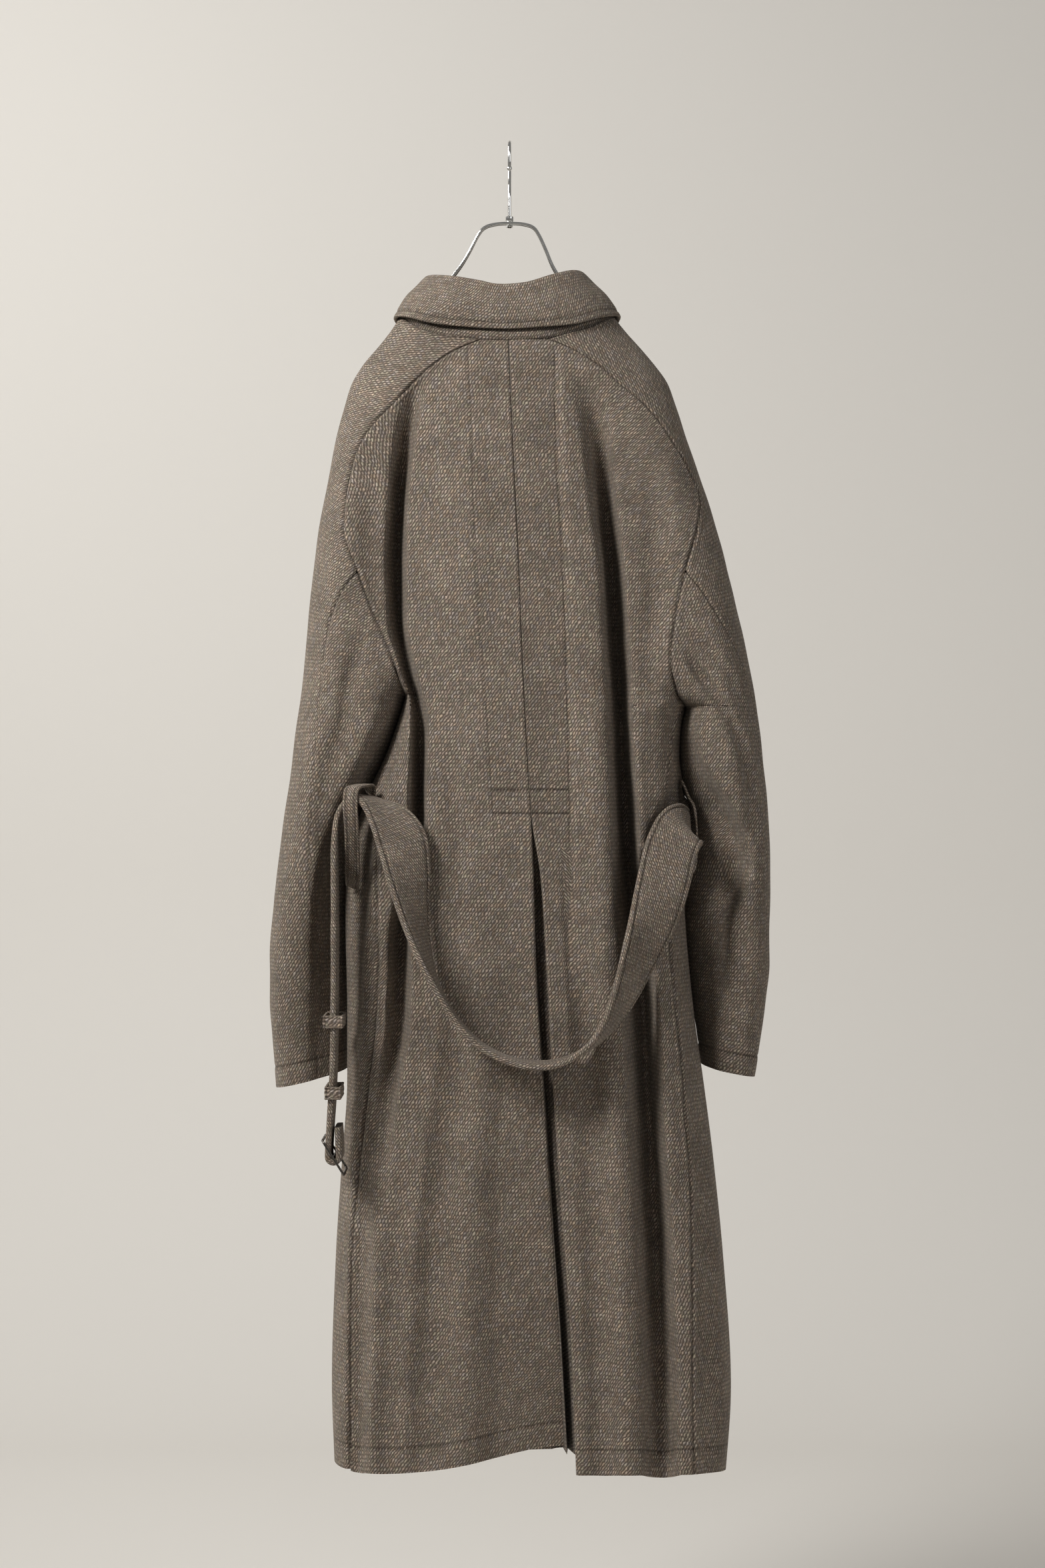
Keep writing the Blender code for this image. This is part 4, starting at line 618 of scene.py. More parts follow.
def stitched(away, sizes, along, deep=0.7, reach=1.5):
    """A row of stitches: a narrow furrow, pulled in at every stitch."""
    return -deep * np.exp(-((away / reach) ** 2)) * (1 + 0.35 * np.cos(2 * math.pi * along / (sizes.stitch / MM)))


def turned_hem(past, along, sizes, step, dark):
    """Lift and painted shade where a hem's stitches lie level with past 0 and its turned layer shows through below."""
    away = np.full(len(along), past)
    return stitched(away, sizes, along) + step * ease(past / 6), painted_line_shade(away, sizes, along, STITCH_SHADE, dark)


def hem_share(drop):
    """How much of the hem's own line a row has taken on."""
    return ease((drop - HEM_SHAPED) / (HEM_DROP - HEM_SHAPED))


def layers(count, past):
    """The wall's thickness as a share of two layers: both of them below a hem's stitches."""
    return np.full(count, 1.0 if past > 0 else 0.5)


def unevenness(points, drop, sizes):
    """Slight waves that no piece of hanging wool is without, alike across every seam."""
    x, y = points[:, 0], points[:, 1]
    rise = sizes.wave / MM
    turn = x * 0.021 + y * 0.013
    return rise * (0.9 * np.sin(turn * 1.9 + drop * 0.011 + 1.3) * np.sin(drop * 0.017 + x * 0.006)
                   + 0.7 * np.sin(turn * 3.7 - drop * 0.019 + 0.4) * np.sin(drop * 0.031 + y * 0.02 + 2.0)
                   + 0.35 * np.sin(turn * 7.1 + drop * 0.043 + 2.2) * np.sin(drop * 0.057 - x * 0.021))


def hem_lift(x, side):
    """How far the hem is above its lowest level: the left panel lifts towards the pleat."""
    if side == "left":
        return np.where(x > -150, 31 * np.exp(-(((x - 61) / 100) ** 2)), 0)
    return np.zeros_like(x)


def side_hem(side, points):
    """How much lower the hem hangs at the right side, where the coat is widest."""
    if side == "left":
        return np.zeros(len(points))
    return 0.12 * np.clip(points[:, 1] + 88, 0, 90) * ease((points[:, 0] - 60) / 70)


CUFF = {"left": (991, 0.24), "right": (980, 0.20)}      # drop at the outer edge, rise towards the body


def cuff_lift(x, side):
    lowest, slope = CUFF[side]
    return slope * np.abs(OUTLINE.at(side, lowest - 10) - x)


# The way the warp leans outwards on a sleeve, in degrees from upright: it follows the shoulder.
WARP_LEAN = Table("drop lean", (176, 56), (230, 53), (290, 44), (350, 32), (430, 17), (520, 6), (620, 0), (1000, 0))


@functools.lru_cache(maxsize=None)
def warp_run(side):
    """Along each sleeve's ridge: how far the cloth's own two coordinates have gone at each drop."""
    drops = np.arange(176, 1001, 1.0)
    out = SIDES[side] * OUTLINE.at(side, drops)
    lean = np.radians(WARP_LEAN.at("lean", drops))
    d_out, d_drop = np.gradient(out), np.gradient(drops)
    across = np.cumsum(d_out * np.cos(lean) - d_drop * np.sin(lean))
    along = np.cumsum(d_out * np.sin(lean) + d_drop * np.cos(lean))
    return drops, across, along


def sleeve_weave(side, line, lengths, drop):
    drops, across, along = warp_run(side)
    lean = math.radians(float(WARP_LEAN.at("lean", drop)))
    out = lengths - line.ridge
    u = np.interp(drop, drops, across) + out * math.cos(lean)
    v = np.interp(drop, drops, along) + out * math.sin(lean)
    return np.column_stack((SIDES[side] * u, v))


def body_weave(side, lengths, drop, start):
    centre = PLEAT.at(side, drop)
    return np.column_stack((centre + SIDES[side] * (lengths - start), np.full(len(lengths), drop)))


class Strip:
    """Rows and columns of one stretch of a piece, with the weave's place and the painted shade at every point."""

    def __init__(self, side):
        self.side = side
        self.points, self.weave, self.thick, self.shade = [], [], [], []

    def row(self, points, drops, weave, thick, shade):
        self.points.append(np.column_stack((points[:, 0], points[:, 1], -drops)) * MM)
        self.weave.append(weave * MM)
        self.thick.append(thick)
        self.shade.append(shade)


def cloth_object(name, strips, sizes, seed):
    """A piece of cloth with its wall turned in, from strips whose shared edges are closed."""
    points, weave, thick, shade, quads = [], [], [], [], []
    for strip in strips:
        grid = np.array(strip.points)
        rows, columns = grid.shape[:2]
        first = sum(len(p) for p in points)
        number = first + np.arange(rows * columns).reshape(rows, columns)
        a, b, c, d = number[:-1, :-1], number[:-1, 1:], number[1:, 1:], number[1:, :-1]
        around = (a, b, c, d) if strip.side == "left" else (a, d, c, b)
        quads.append(np.stack(around, axis=-1).reshape(-1, 4))
        points.append(grid.reshape(-1, 3))
        weave.append(np.array(strip.weave).reshape(-1, 2))
        thick.append(np.array(strip.thick).reshape(-1))
        shade.append(np.array(strip.shade).reshape(-1))
    points, weave, thick, shade, quads = map(np.concatenate, (points, weave, thick, shade, quads))
    mesh = bpy.data.meshes.new(name)
    mesh.from_pydata(points.tolist(), [], quads.tolist())
    loops = np.empty(len(mesh.loops), np.int32)
    mesh.loops.foreach_get("vertex_index", loops)
    weave_loops(mesh).foreach_set("uv", (weave[loops] + seed * SEED_STEP * MM).astype(np.float32).ravel())
    add_painted_shade(mesh, shade)
    thing = placed(name, mesh)
    group = thing.vertex_groups.new(name="layers")
    for value in np.unique(thick):
        group.add(np.nonzero(thick == value)[0].tolist(), float(value), "REPLACE")
    shape = bmesh.new()
    shape.from_mesh(mesh)
    bmesh.ops.remove_doubles(shape, verts=shape.verts, dist=0.00002)
    bmesh.ops.dissolve_degenerate(shape, edges=shape.edges, dist=0.00001)
    shape.to_mesh(mesh)
    shape.free()
    bpy.ops.object.modifier_add(type="SOLIDIFY")
    wall = thing.modifiers[-1]
    wall.thickness, wall.offset, wall.vertex_group = sizes.cloth * 2, -1.0, "layers"
    wall.use_even_offset = False
    bpy.ops.object.modifier_apply(modifier=wall.name)
    smooth_but_for(thing, 65)
    return thing


def weave_loops(mesh):
    """The mesh's own coordinates for the weave, in metres of cloth."""
    return mesh.uv_layers.new(name="weave").data


# The painted shade, kept on every point: the wool's colour is darkened by it.
def add_painted_shade(mesh, shade):
    mark = mesh.attributes.new("shade", "FLOAT", "POINT")
    mark.data.foreach_set("value", np.clip(shade, 0, 1).astype(np.float32).ravel())


def only(thing):
    bpy.ops.object.select_all(action="DESELECT")
    thing.select_set(True)
    bpy.context.view_layer.objects.active = thing


def placed(name, data):
    """A new object in the scene, and the only one selected."""
    thing = bpy.data.objects.new(name, data)
    bpy.context.collection.objects.link(thing)
    only(thing)
    return thing


def join(thing, other):
    only(other)
    thing.select_set(True)
    bpy.context.view_layer.objects.active = thing
    bpy.ops.object.join()


@contextlib.contextmanager
def editing():
    """Edit mode, with everything selected."""
    bpy.ops.object.mode_set(mode="EDIT")
    bpy.ops.mesh.select_all(action="SELECT")
    yield
    bpy.ops.object.mode_set(mode="OBJECT")


def face_outwards():
    bpy.ops.mesh.select_all(action="SELECT")
    bpy.ops.mesh.normals_make_consistent(inside=False)


def smooth_but_for(thing, angle):
    """Smooth shading, with edges sharper than the angle left sharp."""
    thing.data.shade_smooth()
    thing.data.set_sharp_from_angle(angle=math.radians(angle))


# ---------------------------------------------------------------- back


def centre_lines(side, x, drop, sizes):
    """Lift and painted shade of the pressed line beside the centre back, the strip it bounds and the tacked lines."""
    fade = ease((PRESSED_END - drop) / 60) * ease((drop - 216) / 20)
    line_x = PRESSED[side].at("x", min(drop, PRESSED_END))
    centre = PLEAT.at(side, drop)
    share = np.clip((x - centre) / (line_x - centre), 0, 1)
    beside = np.abs(x - line_x)
    between = np.abs(x - centre) < abs(line_x - centre)
    if side == "right":
        slope = ease((960 - drop) / 240) * ease((drop - 216) / 40)
        lift = -6.4 * slope * np.where(x < line_x, share, ease((line_x + 9 - x) / 9))
        lift += 1.6 * slope * ease((x - line_x) / 8) * ease((line_x + 34 - x) / 26)
    else:
        lift = fade * (0.9 * share * ease((x - line_x + 22) / 22) - 0.7 * np.exp(-((beside / 1.3) ** 2)))
    # Painted shade in the pressed crease, deeper on the right, and along the centre back seam above the pleat.
    shade = (0.75 if side == "right" else 0.375) * fade * np.exp(-((beside / 0.9) ** 2))
    shade += painted_line_shade(x - centre, sizes, drop, 1.2, 0.9) * (drop < PLEAT_TOP)
    # Painted shade along the two tacked rows of stitches, between the centre and the pressed line.
    for tack in TACKS:
        away = np.full_like(x, drop - tack)
        lift += between * stitched(away, sizes, x)
        shade += between * painted_line_shade(away, sizes, x, STITCH_SHADE, 1.0)
    return lift, shade


def back_strip(side, sizes):
    strip = Strip(side)
    rows = level_rows(NECK_BACK + 0.3, HEM_DROP, sizes.row_step / MM, TACKS + (HEM_STITCHES,), (UNDERARM[side],))
    for drop in rows:
        line = cloth_line(side, drop)
        corner = line.faces["back"][0]
        low = line.length[corner]
        seam = (BACK_SEAM if drop < UNDERARM[side] else SIDE_SEAM)[side]
        high = line.at("back", seam.at("x", drop)) - SEAM_GAP / 2
        pressed = line.at("back", PRESSED[side].at("x", min(drop, PRESSED_END)))
        anchors = settle([low + 3, pressed - 4, pressed - 1.6, pressed, pressed + 1.6, pressed + 5,
                          high - 8, high - 4, high - 2, high - 0.8], low, high)
        stations = fill([low] + anchors + [high], [2, 12, 2, 2, 2, 2, 58, 3, 2, 2, 1])
        lengths = np.concatenate((line.length[:corner], stations))
        points, normals = line.read(lengths)
        x = points[:, 0]
        own = ease((lengths - low) / 4)[:, None]
        normals = own * normals + (1 - own) * np.array([0.0, -1.0])
        lift = unevenness(points, drop, sizes)
        lift += seam_sink(high - lengths, sizes, drop)
        outside = lengths >= low
        line_rise, centre_painted_shade = centre_lines(side, x, drop, sizes)
        hem_rise, hem_painted_shade = turned_hem(drop - HEM_STITCHES, x, sizes, 0.5, 0.75)
        lift += outside * (line_rise + hem_rise)
        # Painted shade along the seam, the centre lines and the hem's stitches.
        shade = painted_line_shade(high - lengths, sizes, drop) + outside * (centre_painted_shade + hem_painted_shade)
        lift = meet(lift, side, points, drop)
        points += normals * lift[:, None]
        lower = 0.19 * fold_depth(side, "back", "body", x, drop) + side_hem(side, points) - hem_lift(x, side)
        thick = layers(len(x), drop - HEM_STITCHES)
        thick[~outside] = 0.5
        strip.row(points, drop + hem_share(drop) * lower, body_weave(side, lengths, drop, low), thick, shade)
    return strip


class COAT_OT_back(bpy.types.Operator):
    """Add the two back panels and the pleat's floor"""

    bl_idname = "coat.back"
    bl_label = "Back"

    def execute(self, context):
        sizes = context.scene.coat_sizes
        for side, seed in (("left", 0), ("right", 3)):
            panel = cloth_object("wool_back_" + side, [back_strip(side, sizes)], sizes, seed)
            sew(panel, "back_" + side, "body")
        floor = pleat_floor(sizes)
        sew(floor, "pleat_underlay", "body")
        return {"FINISHED"}


def pleat_floor(sizes):
    """The strip behind both turned-back edges of the pleat, with painted shade where it lies deep in the opening."""
    strip = Strip("right")
    for drop in level_rows(PLEAT_TOP + 5, HEM_DROP - 18, 12):
        left, right = PLEAT.at("left", drop), PLEAT.at("right", drop)
        width = SEAM_ALLOWANCE + (PLEAT_RETURN - SEAM_ALLOWANCE) * ease((drop - PLEAT_TOP) / 60)
        xs = fill((left - width, left, right, right + width), (11, 7, 11))
        faces = {side: functools.partial(face_line, side, "back", "body", drop=drop) for side in SIDES}
        ends = [faces["left"](x=np.array([left]))[0], faces["right"](x=np.array([right]))[0]]
        ys = np.where(xs < left, faces["left"](x=xs), faces["right"](x=xs))
        across = (xs > left) & (xs < right)
        ys[across] = np.interp(xs[across], (left, right), ends)
        opened = ease((drop - PLEAT_TOP) / 80) * cap((xs - left + 14) / 14) * cap((right + 14 - xs) / 14)
        ys += TURN_BACK + 1.4 + 8 * opened
        points = np.column_stack((xs, ys))
        weave = np.column_stack((xs, np.full(len(xs), drop)))
        # Painted shade darkens the floor deep in the opened pleat, where shadow falls.
        strip.row(points, np.full(len(xs), drop), weave, np.full(len(xs), 0.5), 0.6 * opened)
    return cloth_object("wool_pleat_floor", [strip], sizes, 5)


# ---------------------------------------------------------------- fronts


def front_strip(side, sizes):
    strip = Strip(side)
    rows = level_rows(RAGLAN_FRONT + 0.3, HEM_DROP, 2 * sizes.row_step / MM, (HEM_STITCHES,),
                      (UNDERARM[side], NECK_FRONT))
    for drop in rows:
        line = cloth_line(side, drop)
        if drop < UNDERARM[side]:
            low = line.at("front", FRONT_SEAM[side].at("x", drop))
        else:
            low = line.at("back", SIDE_SEAM[side].at("x", drop))
        low += SEAM_GAP / 2
        high = line.length[-1]
        if drop < NECK_FRONT:
            high = line.at("front", NECKLINE[side, "front"].at("x", drop))
        anchors = settle([low + 1, low + 2.5, low + 5, low + 9, high - 7, high - 5, high - 2.5], low, high)
        lengths = fill([low] + anchors + [high], [1, 2, 2, 2, 62, 2, 2, 2])
        points, normals = line.read(lengths)
        lift = unevenness(points, drop, sizes) + seam_sink(lengths - low, sizes, drop)
        hem_rise, hem_painted_shade = turned_hem(drop - HEM_STITCHES, points[:, 0], sizes, 0.5, 0.75)
        # Painted shade along the seam, the hem's stitches and, below the neck, the stitches beside the front edge.
        shade = painted_line_shade(lengths - low, sizes, drop) + hem_painted_shade
        if drop > NECK_FRONT:
            edge = high - lengths
            lift += stitched(edge - 6, sizes, drop, 0.5, 1.6) - 1.2 * np.exp(-((edge / 2.2) ** 2))
            shade += painted_line_shade(edge - 6, sizes, drop, 1.1, 0.6)
        lift += hem_rise
        lift = meet(lift, side, points, drop)
        if side == "right" and BULGE[0] < drop < BULGE[1]:
            lift += side_bulge(points, drop)
        points += normals * lift[:, None]
        weave = body_weave(side, lengths, drop, line.length[line.faces["back"][0]])
        drops = drop + hem_share(drop) * side_hem(side, points)
        strip.row(points, drops, weave, layers(len(points), drop - HEM_STITCHES), shade)
    return strip


class COAT_OT_fronts(bpy.types.Operator):
    """Add the two fronts, which reach round to the side seams"""

    bl_idname = "coat.fronts"
    bl_label = "Fronts"

    def execute(self, context):
        sizes = context.scene.coat_sizes
        for side, seed in (("left", 7), ("right", 11)):
            panel = cloth_object("wool_front_" + side, [front_strip(side, sizes)], sizes, seed)
            sew(panel, "front_" + side, "body")
        return {"FINISHED"}


# ---------------------------------------------------------------- sleeves


def sleeve_edges(side, drop):
    """Where the outer sleeve starts on the back and ends on the front."""
    line = arm_line(side, drop)
    edges = []
    for face, seams in (("back", BACK_SEAM), ("front", FRONT_SEAM)):
        top = NECK_BACK if face == "back" else RAGLAN_FRONT
        if drop < top:
            x = NECKLINE[side, face].at("x", drop)
        elif drop < SLEEVE_SPLIT:
            x = seams[side].at("x", drop)
        else:
            x = SLEEVE_SEAM[side, face].at("x", drop)
        edges.append(line.at(face, x))
    return line, edges[0] + SEAM_GAP / 2, edges[1] - SEAM_GAP / 2


def seam_share(drop):
    """How much of a sleeve's seam shows in its sink and its painted shade: less from the upper arm down."""
    return 1 - 0.7 * ease((drop - 490) / 60)


def cuff_row(strip, side, line, lengths, drop, lift, shade, sizes):
    """Finish one row of a sleeve: the turned cuff, its stitches with their painted shade, and its slant."""
    bottom = CUFF[side][0]
    points, normals = line.read(lengths)
    turn = drop - (bottom - CUFF_TURN)
    hem_rise, hem_painted_shade = turned_hem(turn, lengths - line.ridge, sizes, 0.45, 0.85)
    inner = float(SLEEVE_INNER.at(side, drop))
    room = max(SIDES[side] * (inner - float(BODY_SIDE.at(side, drop))) + 1.6 * ease((drop - 850) / 30), 0)
    room *= ease((drop - ARM_FREE) / 12)
    lift = meet(lift + unevenness(points, drop, sizes) + hem_rise, side, points, drop, 0.4 + room)
    if side == "right" and ARM_BULGE[0] < drop < ARM_BULGE[1]:
        lift = lift + max(inner - ARM_MEETS, 0) * beside_loop(points) * (points[:, 0] < inner + 16)
    points += normals * lift[:, None]
    slant = ease((drop - CUFF_SHAPED) / (bottom - CUFF_SHAPED))
    drops = drop - cuff_lift(points[:, 0], side) * slant
    strip.row(points, drops, sleeve_weave(side, line, lengths, drop), layers(len(lengths), turn), shade + hem_painted_shade)


def sleeve_strip(side, sizes):
    strip = Strip(side)
    bottom = CUFF[side][0]
    rows = level_rows(183.4, bottom, sizes.row_step / MM, (bottom - CUFF_TURN,), (UNDERARM[side], NECK_BACK))
    for drop in rows:
        line, low, high = sleeve_edges(side, drop)
        anchors = settle([low + 0.8, low + 2, low + 4, low + 8, line.ridge - 14, line.ridge, line.ridge + 14,
                          high - 6, high - 2.5], low, high)
        lengths = fill([low] + anchors + [high], [1, 2, 2, 2, 26, 6, 6, 26, 2, 2])
        plain = seam_share(drop)
        lift = plain * (seam_sink(lengths - low, sizes, drop) + seam_sink(high - lengths, sizes, drop))
        # Painted shade along both seams of the sleeve.
        shade = plain * (painted_line_shade(lengths - low, sizes, drop) + painted_line_shade(high - lengths, sizes, drop))
        cuff_row(strip, side, line, lengths, drop, lift, shade, sizes)
    return strip


def undersleeve_strip(side, face, sizes):
    """Half the undersleeve, from its seam on one face to the inner end it shares with the other half."""
    strip = Strip(side)
    bottom = CUFF[side][0]
    rows = level_rows(SLEEVE_SPLIT + 1, bottom, sizes.row_step / MM, (bottom - CUFF_TURN,), (UNDERARM[side],))
    seams = BACK_SEAM if face == "back" else FRONT_SEAM
    inwards = 1 if face == "front" else -1
    for drop in rows:
        line = arm_line(side, drop)
        outer = line.at(face, SLEEVE_SEAM[side, face].at("x", drop)) + inwards * SEAM_GAP / 2
        if drop < UNDERARM[side]:
            inner = line.at(face, seams[side].at("x", drop)) - inwards * SEAM_GAP / 2
        else:
            inner = line.length[-1] if face == "front" else 0.0
        low, high = min(outer, inner), max(outer, inner)
        anchors = settle([low + 0.8, low + 2, low + 4, low + 8, high - 8, high - 4, high - 2, high - 0.8], low, high)
        lengths = fill([low] + anchors + [high], [1, 2, 2, 2, 22, 2, 2, 2, 1])
        plain = seam_share(drop)
        lift = plain * seam_sink(np.abs(lengths - outer), sizes, drop)
        # Painted shade along the undersleeve's seams.
        shade = plain * painted_line_shade(lengths - outer, sizes, drop)
        if drop < UNDERARM[side]:
            lift = lift + seam_sink(np.abs(lengths - inner), sizes, drop)
            shade = shade + painted_line_shade(lengths - inner, sizes, drop)
        cuff_row(strip, side, line, lengths, drop, lift, shade, sizes)
    return strip


class COAT_OT_sleeves(bpy.types.Operator):
    """Add the raglan sleeves and their undersleeves"""

    bl_idname = "coat.sleeves"
    bl_label = "Sleeves"

    def execute(self, context):
        sizes = context.scene.coat_sizes
        for side, seed in (("left", 13), ("right", 17)):
            sleeve = cloth_object("wool_sleeve_" + side, [sleeve_strip(side, sizes)], sizes, seed)
            sew(sleeve, "sleeve_" + side, "sleeve")
            halves = [undersleeve_strip(side, face, sizes) for face in ("back", "front")]
            under = cloth_object("wool_undersleeve_" + side, halves, sizes, seed + 2)
            sew(under, "undersleeve_" + side, "sleeve")
        return {"FINISHED"}


# ---------------------------------------------------------------- collar


COLLAR = (
    # neck x, y, drop      fold x, y, drop      edge x, y, drop
    ((-4, 55, 254), (-5, 54, 230), (-46, 78, 306)),
    ((-34, 54, 238), (-30, 51, 205), (-70, 75, 268)),
    ((-64, 46, 220), (-56, 41, 178), (-92, 62, 226)),
    ((-94, 30, 206), (-76, 24, 158), (-112, 40, 196)),
    ((-114, 2, 182), (-87, 0, 147), (-121, 0, 184)),
    ((-101, -32, 193), (-81, -26, 147), (-108, -41, 187)),
    ((-73, -52, 206), (-58, -46, 151), (-78, -62, 196.5)),
    ((-38, -60, 211), (-32, -52, 156), (-40, -67, 201)),
    ((-1, -62, 212), (-11, -54, 160), (-2, -68.5, 203)),
    ((32, -60, 211), (18, -53, 158), (30, -67, 201)),
    ((62, -52, 206), (46, -47, 149), (67, -62, 197)),
    ((92, -34, 193), (68, -27, 142), (98, -42, 187)),
    ((109, 2, 181), (78, 0, 143), (116, 0, 182)),
    ((90, 30, 206), (70, 24, 156), (107, 40, 196)),
    ((62, 46, 220), (54, 41, 178), (88, 62, 226)),
    ((34, 54, 238), (30, 51, 205), (68, 75, 268)),
    ((5, 55, 254), (6, 54, 230), (44, 78, 306)),
)
COLLAR_STEPS = 201
COLLAR_STEP = 2.7           # from one station to the next, along the stitches
COLLAR_STITCHES = 7.0       # how far the stitches lie from the edge
COLLAR_THICK = 4.2
FINER = 1.2                 # the weave of collar and straps is pressed a little closer


def through(points, count, closed=False):
    """Evenly many points on a smooth curve through the given ones, in however many numbers each has."""
    points = np.array(points, float)
    if closed:
        points = np.vstack((points[-1:], points, points[:2]))
    else:
        points = np.vstack((2 * points[0] - points[1], points, 2 * points[-1] - points[-2]))
    spans = len(points) - 3
    at = np.linspace(0, spans, count, endpoint=not closed)
    i = np.minimum(at.astype(int), spans - 1)
    t = (at - i)[:, None]
    a, b, c, d = (points[i + k] for k in range(4))
    return 0.5 * (2 * b + (c - a) * t + (2 * a - 5 * b + 4 * c - d) * t ** 2 + (3 * b - a - 3 * c + d) * t ** 3)


def unit(rows):
    return rows / np.maximum(np.linalg.norm(rows, axis=-1, keepdims=True), 1e-9)


def swept(name, rings, weave, shade=None, closed_run=False):
    """A solid through rings of equal count, closed round and capped at open ends, with the weave's place at
    every point of a ring and once more where it closes."""
    rings = np.array(rings)
    count, around = rings.shape[:2]
    points = rings.reshape(-1, 3) * (MM, MM, -MM)
    mesh = bpy.data.meshes.new(name)
    i, k = np.meshgrid(np.arange(count if closed_run else count - 1), np.arange(around), indexing="ij")
    j, n = (i + 1) % count, (k + 1) % around
    quads = np.stack((i * around + k, i * around + n, j * around + n, j * around + k), axis=-1).reshape(-1, 4)
    faces = quads.tolist()
    if not closed_run:
        faces += [list(range(around))[::-1], list(range((count - 1) * around, count * around))]
    mesh.from_pydata(points.tolist(), [], faces)
    corners = np.array(((i, i, i + 1, i + 1), (k, k + 1, k + 1, k))).transpose(0, 2, 3, 1).reshape(2, -1)
    uv = np.zeros((len(mesh.loops), 2), np.float32)
    uv[: corners.shape[1]] = weave[np.minimum(corners[0], len(weave) - 1), corners[1]] * MM
    for start, ring in ((corners.shape[1], 0), (corners.shape[1] + around, count - 1)):
        if not closed_run:
            uv[start : start + around] = weave[ring, :around] * MM
    weave_loops(mesh).foreach_set("uv", uv.ravel())
    # Painted shade where given, none elsewhere.
    add_painted_shade(mesh, np.zeros(count * around) if shade is None else shade)
    thing = placed(name, mesh)
    with editing():
        face_outwards()
    smooth_but_for(thing, 60)
    return thing


def run_along(points):
    """How far along a row of points each one is."""
    steps = np.linalg.norm(np.diff(points, axis=0), axis=-1)
    return np.concatenate((np.zeros_like(steps[:1]), np.cumsum(steps, axis=0)))


def round_again(points):
    """The points of a ring, and its first one once more."""
    return np.concatenate((points, points[:1]))


def ring_weave(rings):
    """The weave's place on swept rings: along the run, and round each ring."""
    rings = np.array(rings)
    around = run_along(round_again(rings.swapaxes(0, 1))).T
    run = run_along(rings.mean(axis=1))
    return np.stack((np.repeat(run[:, None], around.shape[1], axis=1), around), axis=-1)


def collar_frames():
    flat = through([np.concatenate(row) for row in COLLAR], COLLAR_STEPS)
    neck, fold, edge = flat[:, 0:3], flat[:, 3:6], flat[:, 6:9]
    run = np.gradient(neck[:, :2], axis=0)
    out = unit(np.column_stack((run[:, 1], -run[:, 0])))
    if out[COLLAR_STEPS // 2, 1] > 0:
        out = -out
    return neck, fold, edge, np.column_stack((out, np.zeros(len(out))))


def collar_pieces():
    """Rings of stand and fall, station by station round the neck, and painted shade along the fall's stitches."""
    neck, fold, edge, out = collar_frames()
    sizes = bpy.context.scene.coat_sizes
    stand, fall, shade = [], [], []
    for k, (n, f, e, o) in enumerate(zip(neck, fold, edge, out)):
        wave = 0.7 * math.sin(k * 0.19) * math.sin(k * 0.071 + 1)
        rise = unit(n - f)
        away = unit(o - rise * np.dot(o, rise))
        base = n + rise * 1.4
        face, back = [], []
        for t in np.linspace(0, 1, 26):
            p = f + (base - f) * t
            above = (1 - t) * np.linalg.norm(base - f)
            bow = 1.2 * math.sin(math.pi * t) + 3.4 * float(hump(min(abs(above - 6) / 6, 1)))
            face.append(p + away * bow)
            back.append(p - away * 3.0)
        stand.append(face + back[::-1])
        slant = unit(e - f)
        front = unit(o - slant * np.dot(o, slant))
        half = COLLAR_THICK / 2
        middle = (f + e) / 2 + front * (4.0 + wave)
        profile = through([
            f - away * 2.4 - rise * 3.6,
            f + away * 0.8 - rise * 5.6,
            f + away * 4.4 - rise * 2.8,
            (f * 3 + e) / 4 + front * (half + 3.2 + wave * 0.5),
            middle + front * half,
            (f + e * 3) / 4 + front * (half + 2.4 + wave * 0.6),
            e + front * half - slant * 2.2,
            e + front * 0.6,
            e - front * half - slant * 2.0,
            (f + e * 3) / 4 - front * (half - 2.0),
            middle - front * half,
            (f * 3 + e) / 4 - front * (half - 2.0),
            f + away * 0.7 + rise * 1.5,
            f - away * 1.4 - rise * 0.8,
        ], 84, closed=True)
        from_edge = np.linalg.norm(profile - e, axis=1)
        facing = (profile - e) @ front > 0.6
        away, along = from_edge - COLLAR_STITCHES, k * COLLAR_STEP
        crease = stitched(away, sizes, along, deep=1.2)
        fall.append(profile + front * (crease * facing)[:, None])
        # Painted shade along the stitch line on the fall's face.
        shade.append(painted_line_shade(away, sizes, along, 1.2, 0.8) * facing)
    return stand, fall, np.array(shade)


class COAT_OT_collar(bpy.types.Operator):
    """Add the collar's stand and its turned-down fall"""

    bl_idname = "coat.collar"
    bl_label = "Collar"

    def execute(self, context):
        # stitches holds the painted shade along the fall's stitch line.
        stand, fall, stitches = collar_pieces()
        for name, node, rings, wide, shade, seed in (("wool_collar_stand", "collar_stand", stand, 0.05, None, 21),
                                                     ("wool_collar_fall", "collar_fall", fall, 0.06, stitches, 23)):
            thing = swept(name, rings, ring_weave(rings) * FINER + seed * SEED_STEP, shade)
            sew(thing, node, "collar")
        return {"FINISHED"}


# ---------------------------------------------------------------- belt, loops and keepers


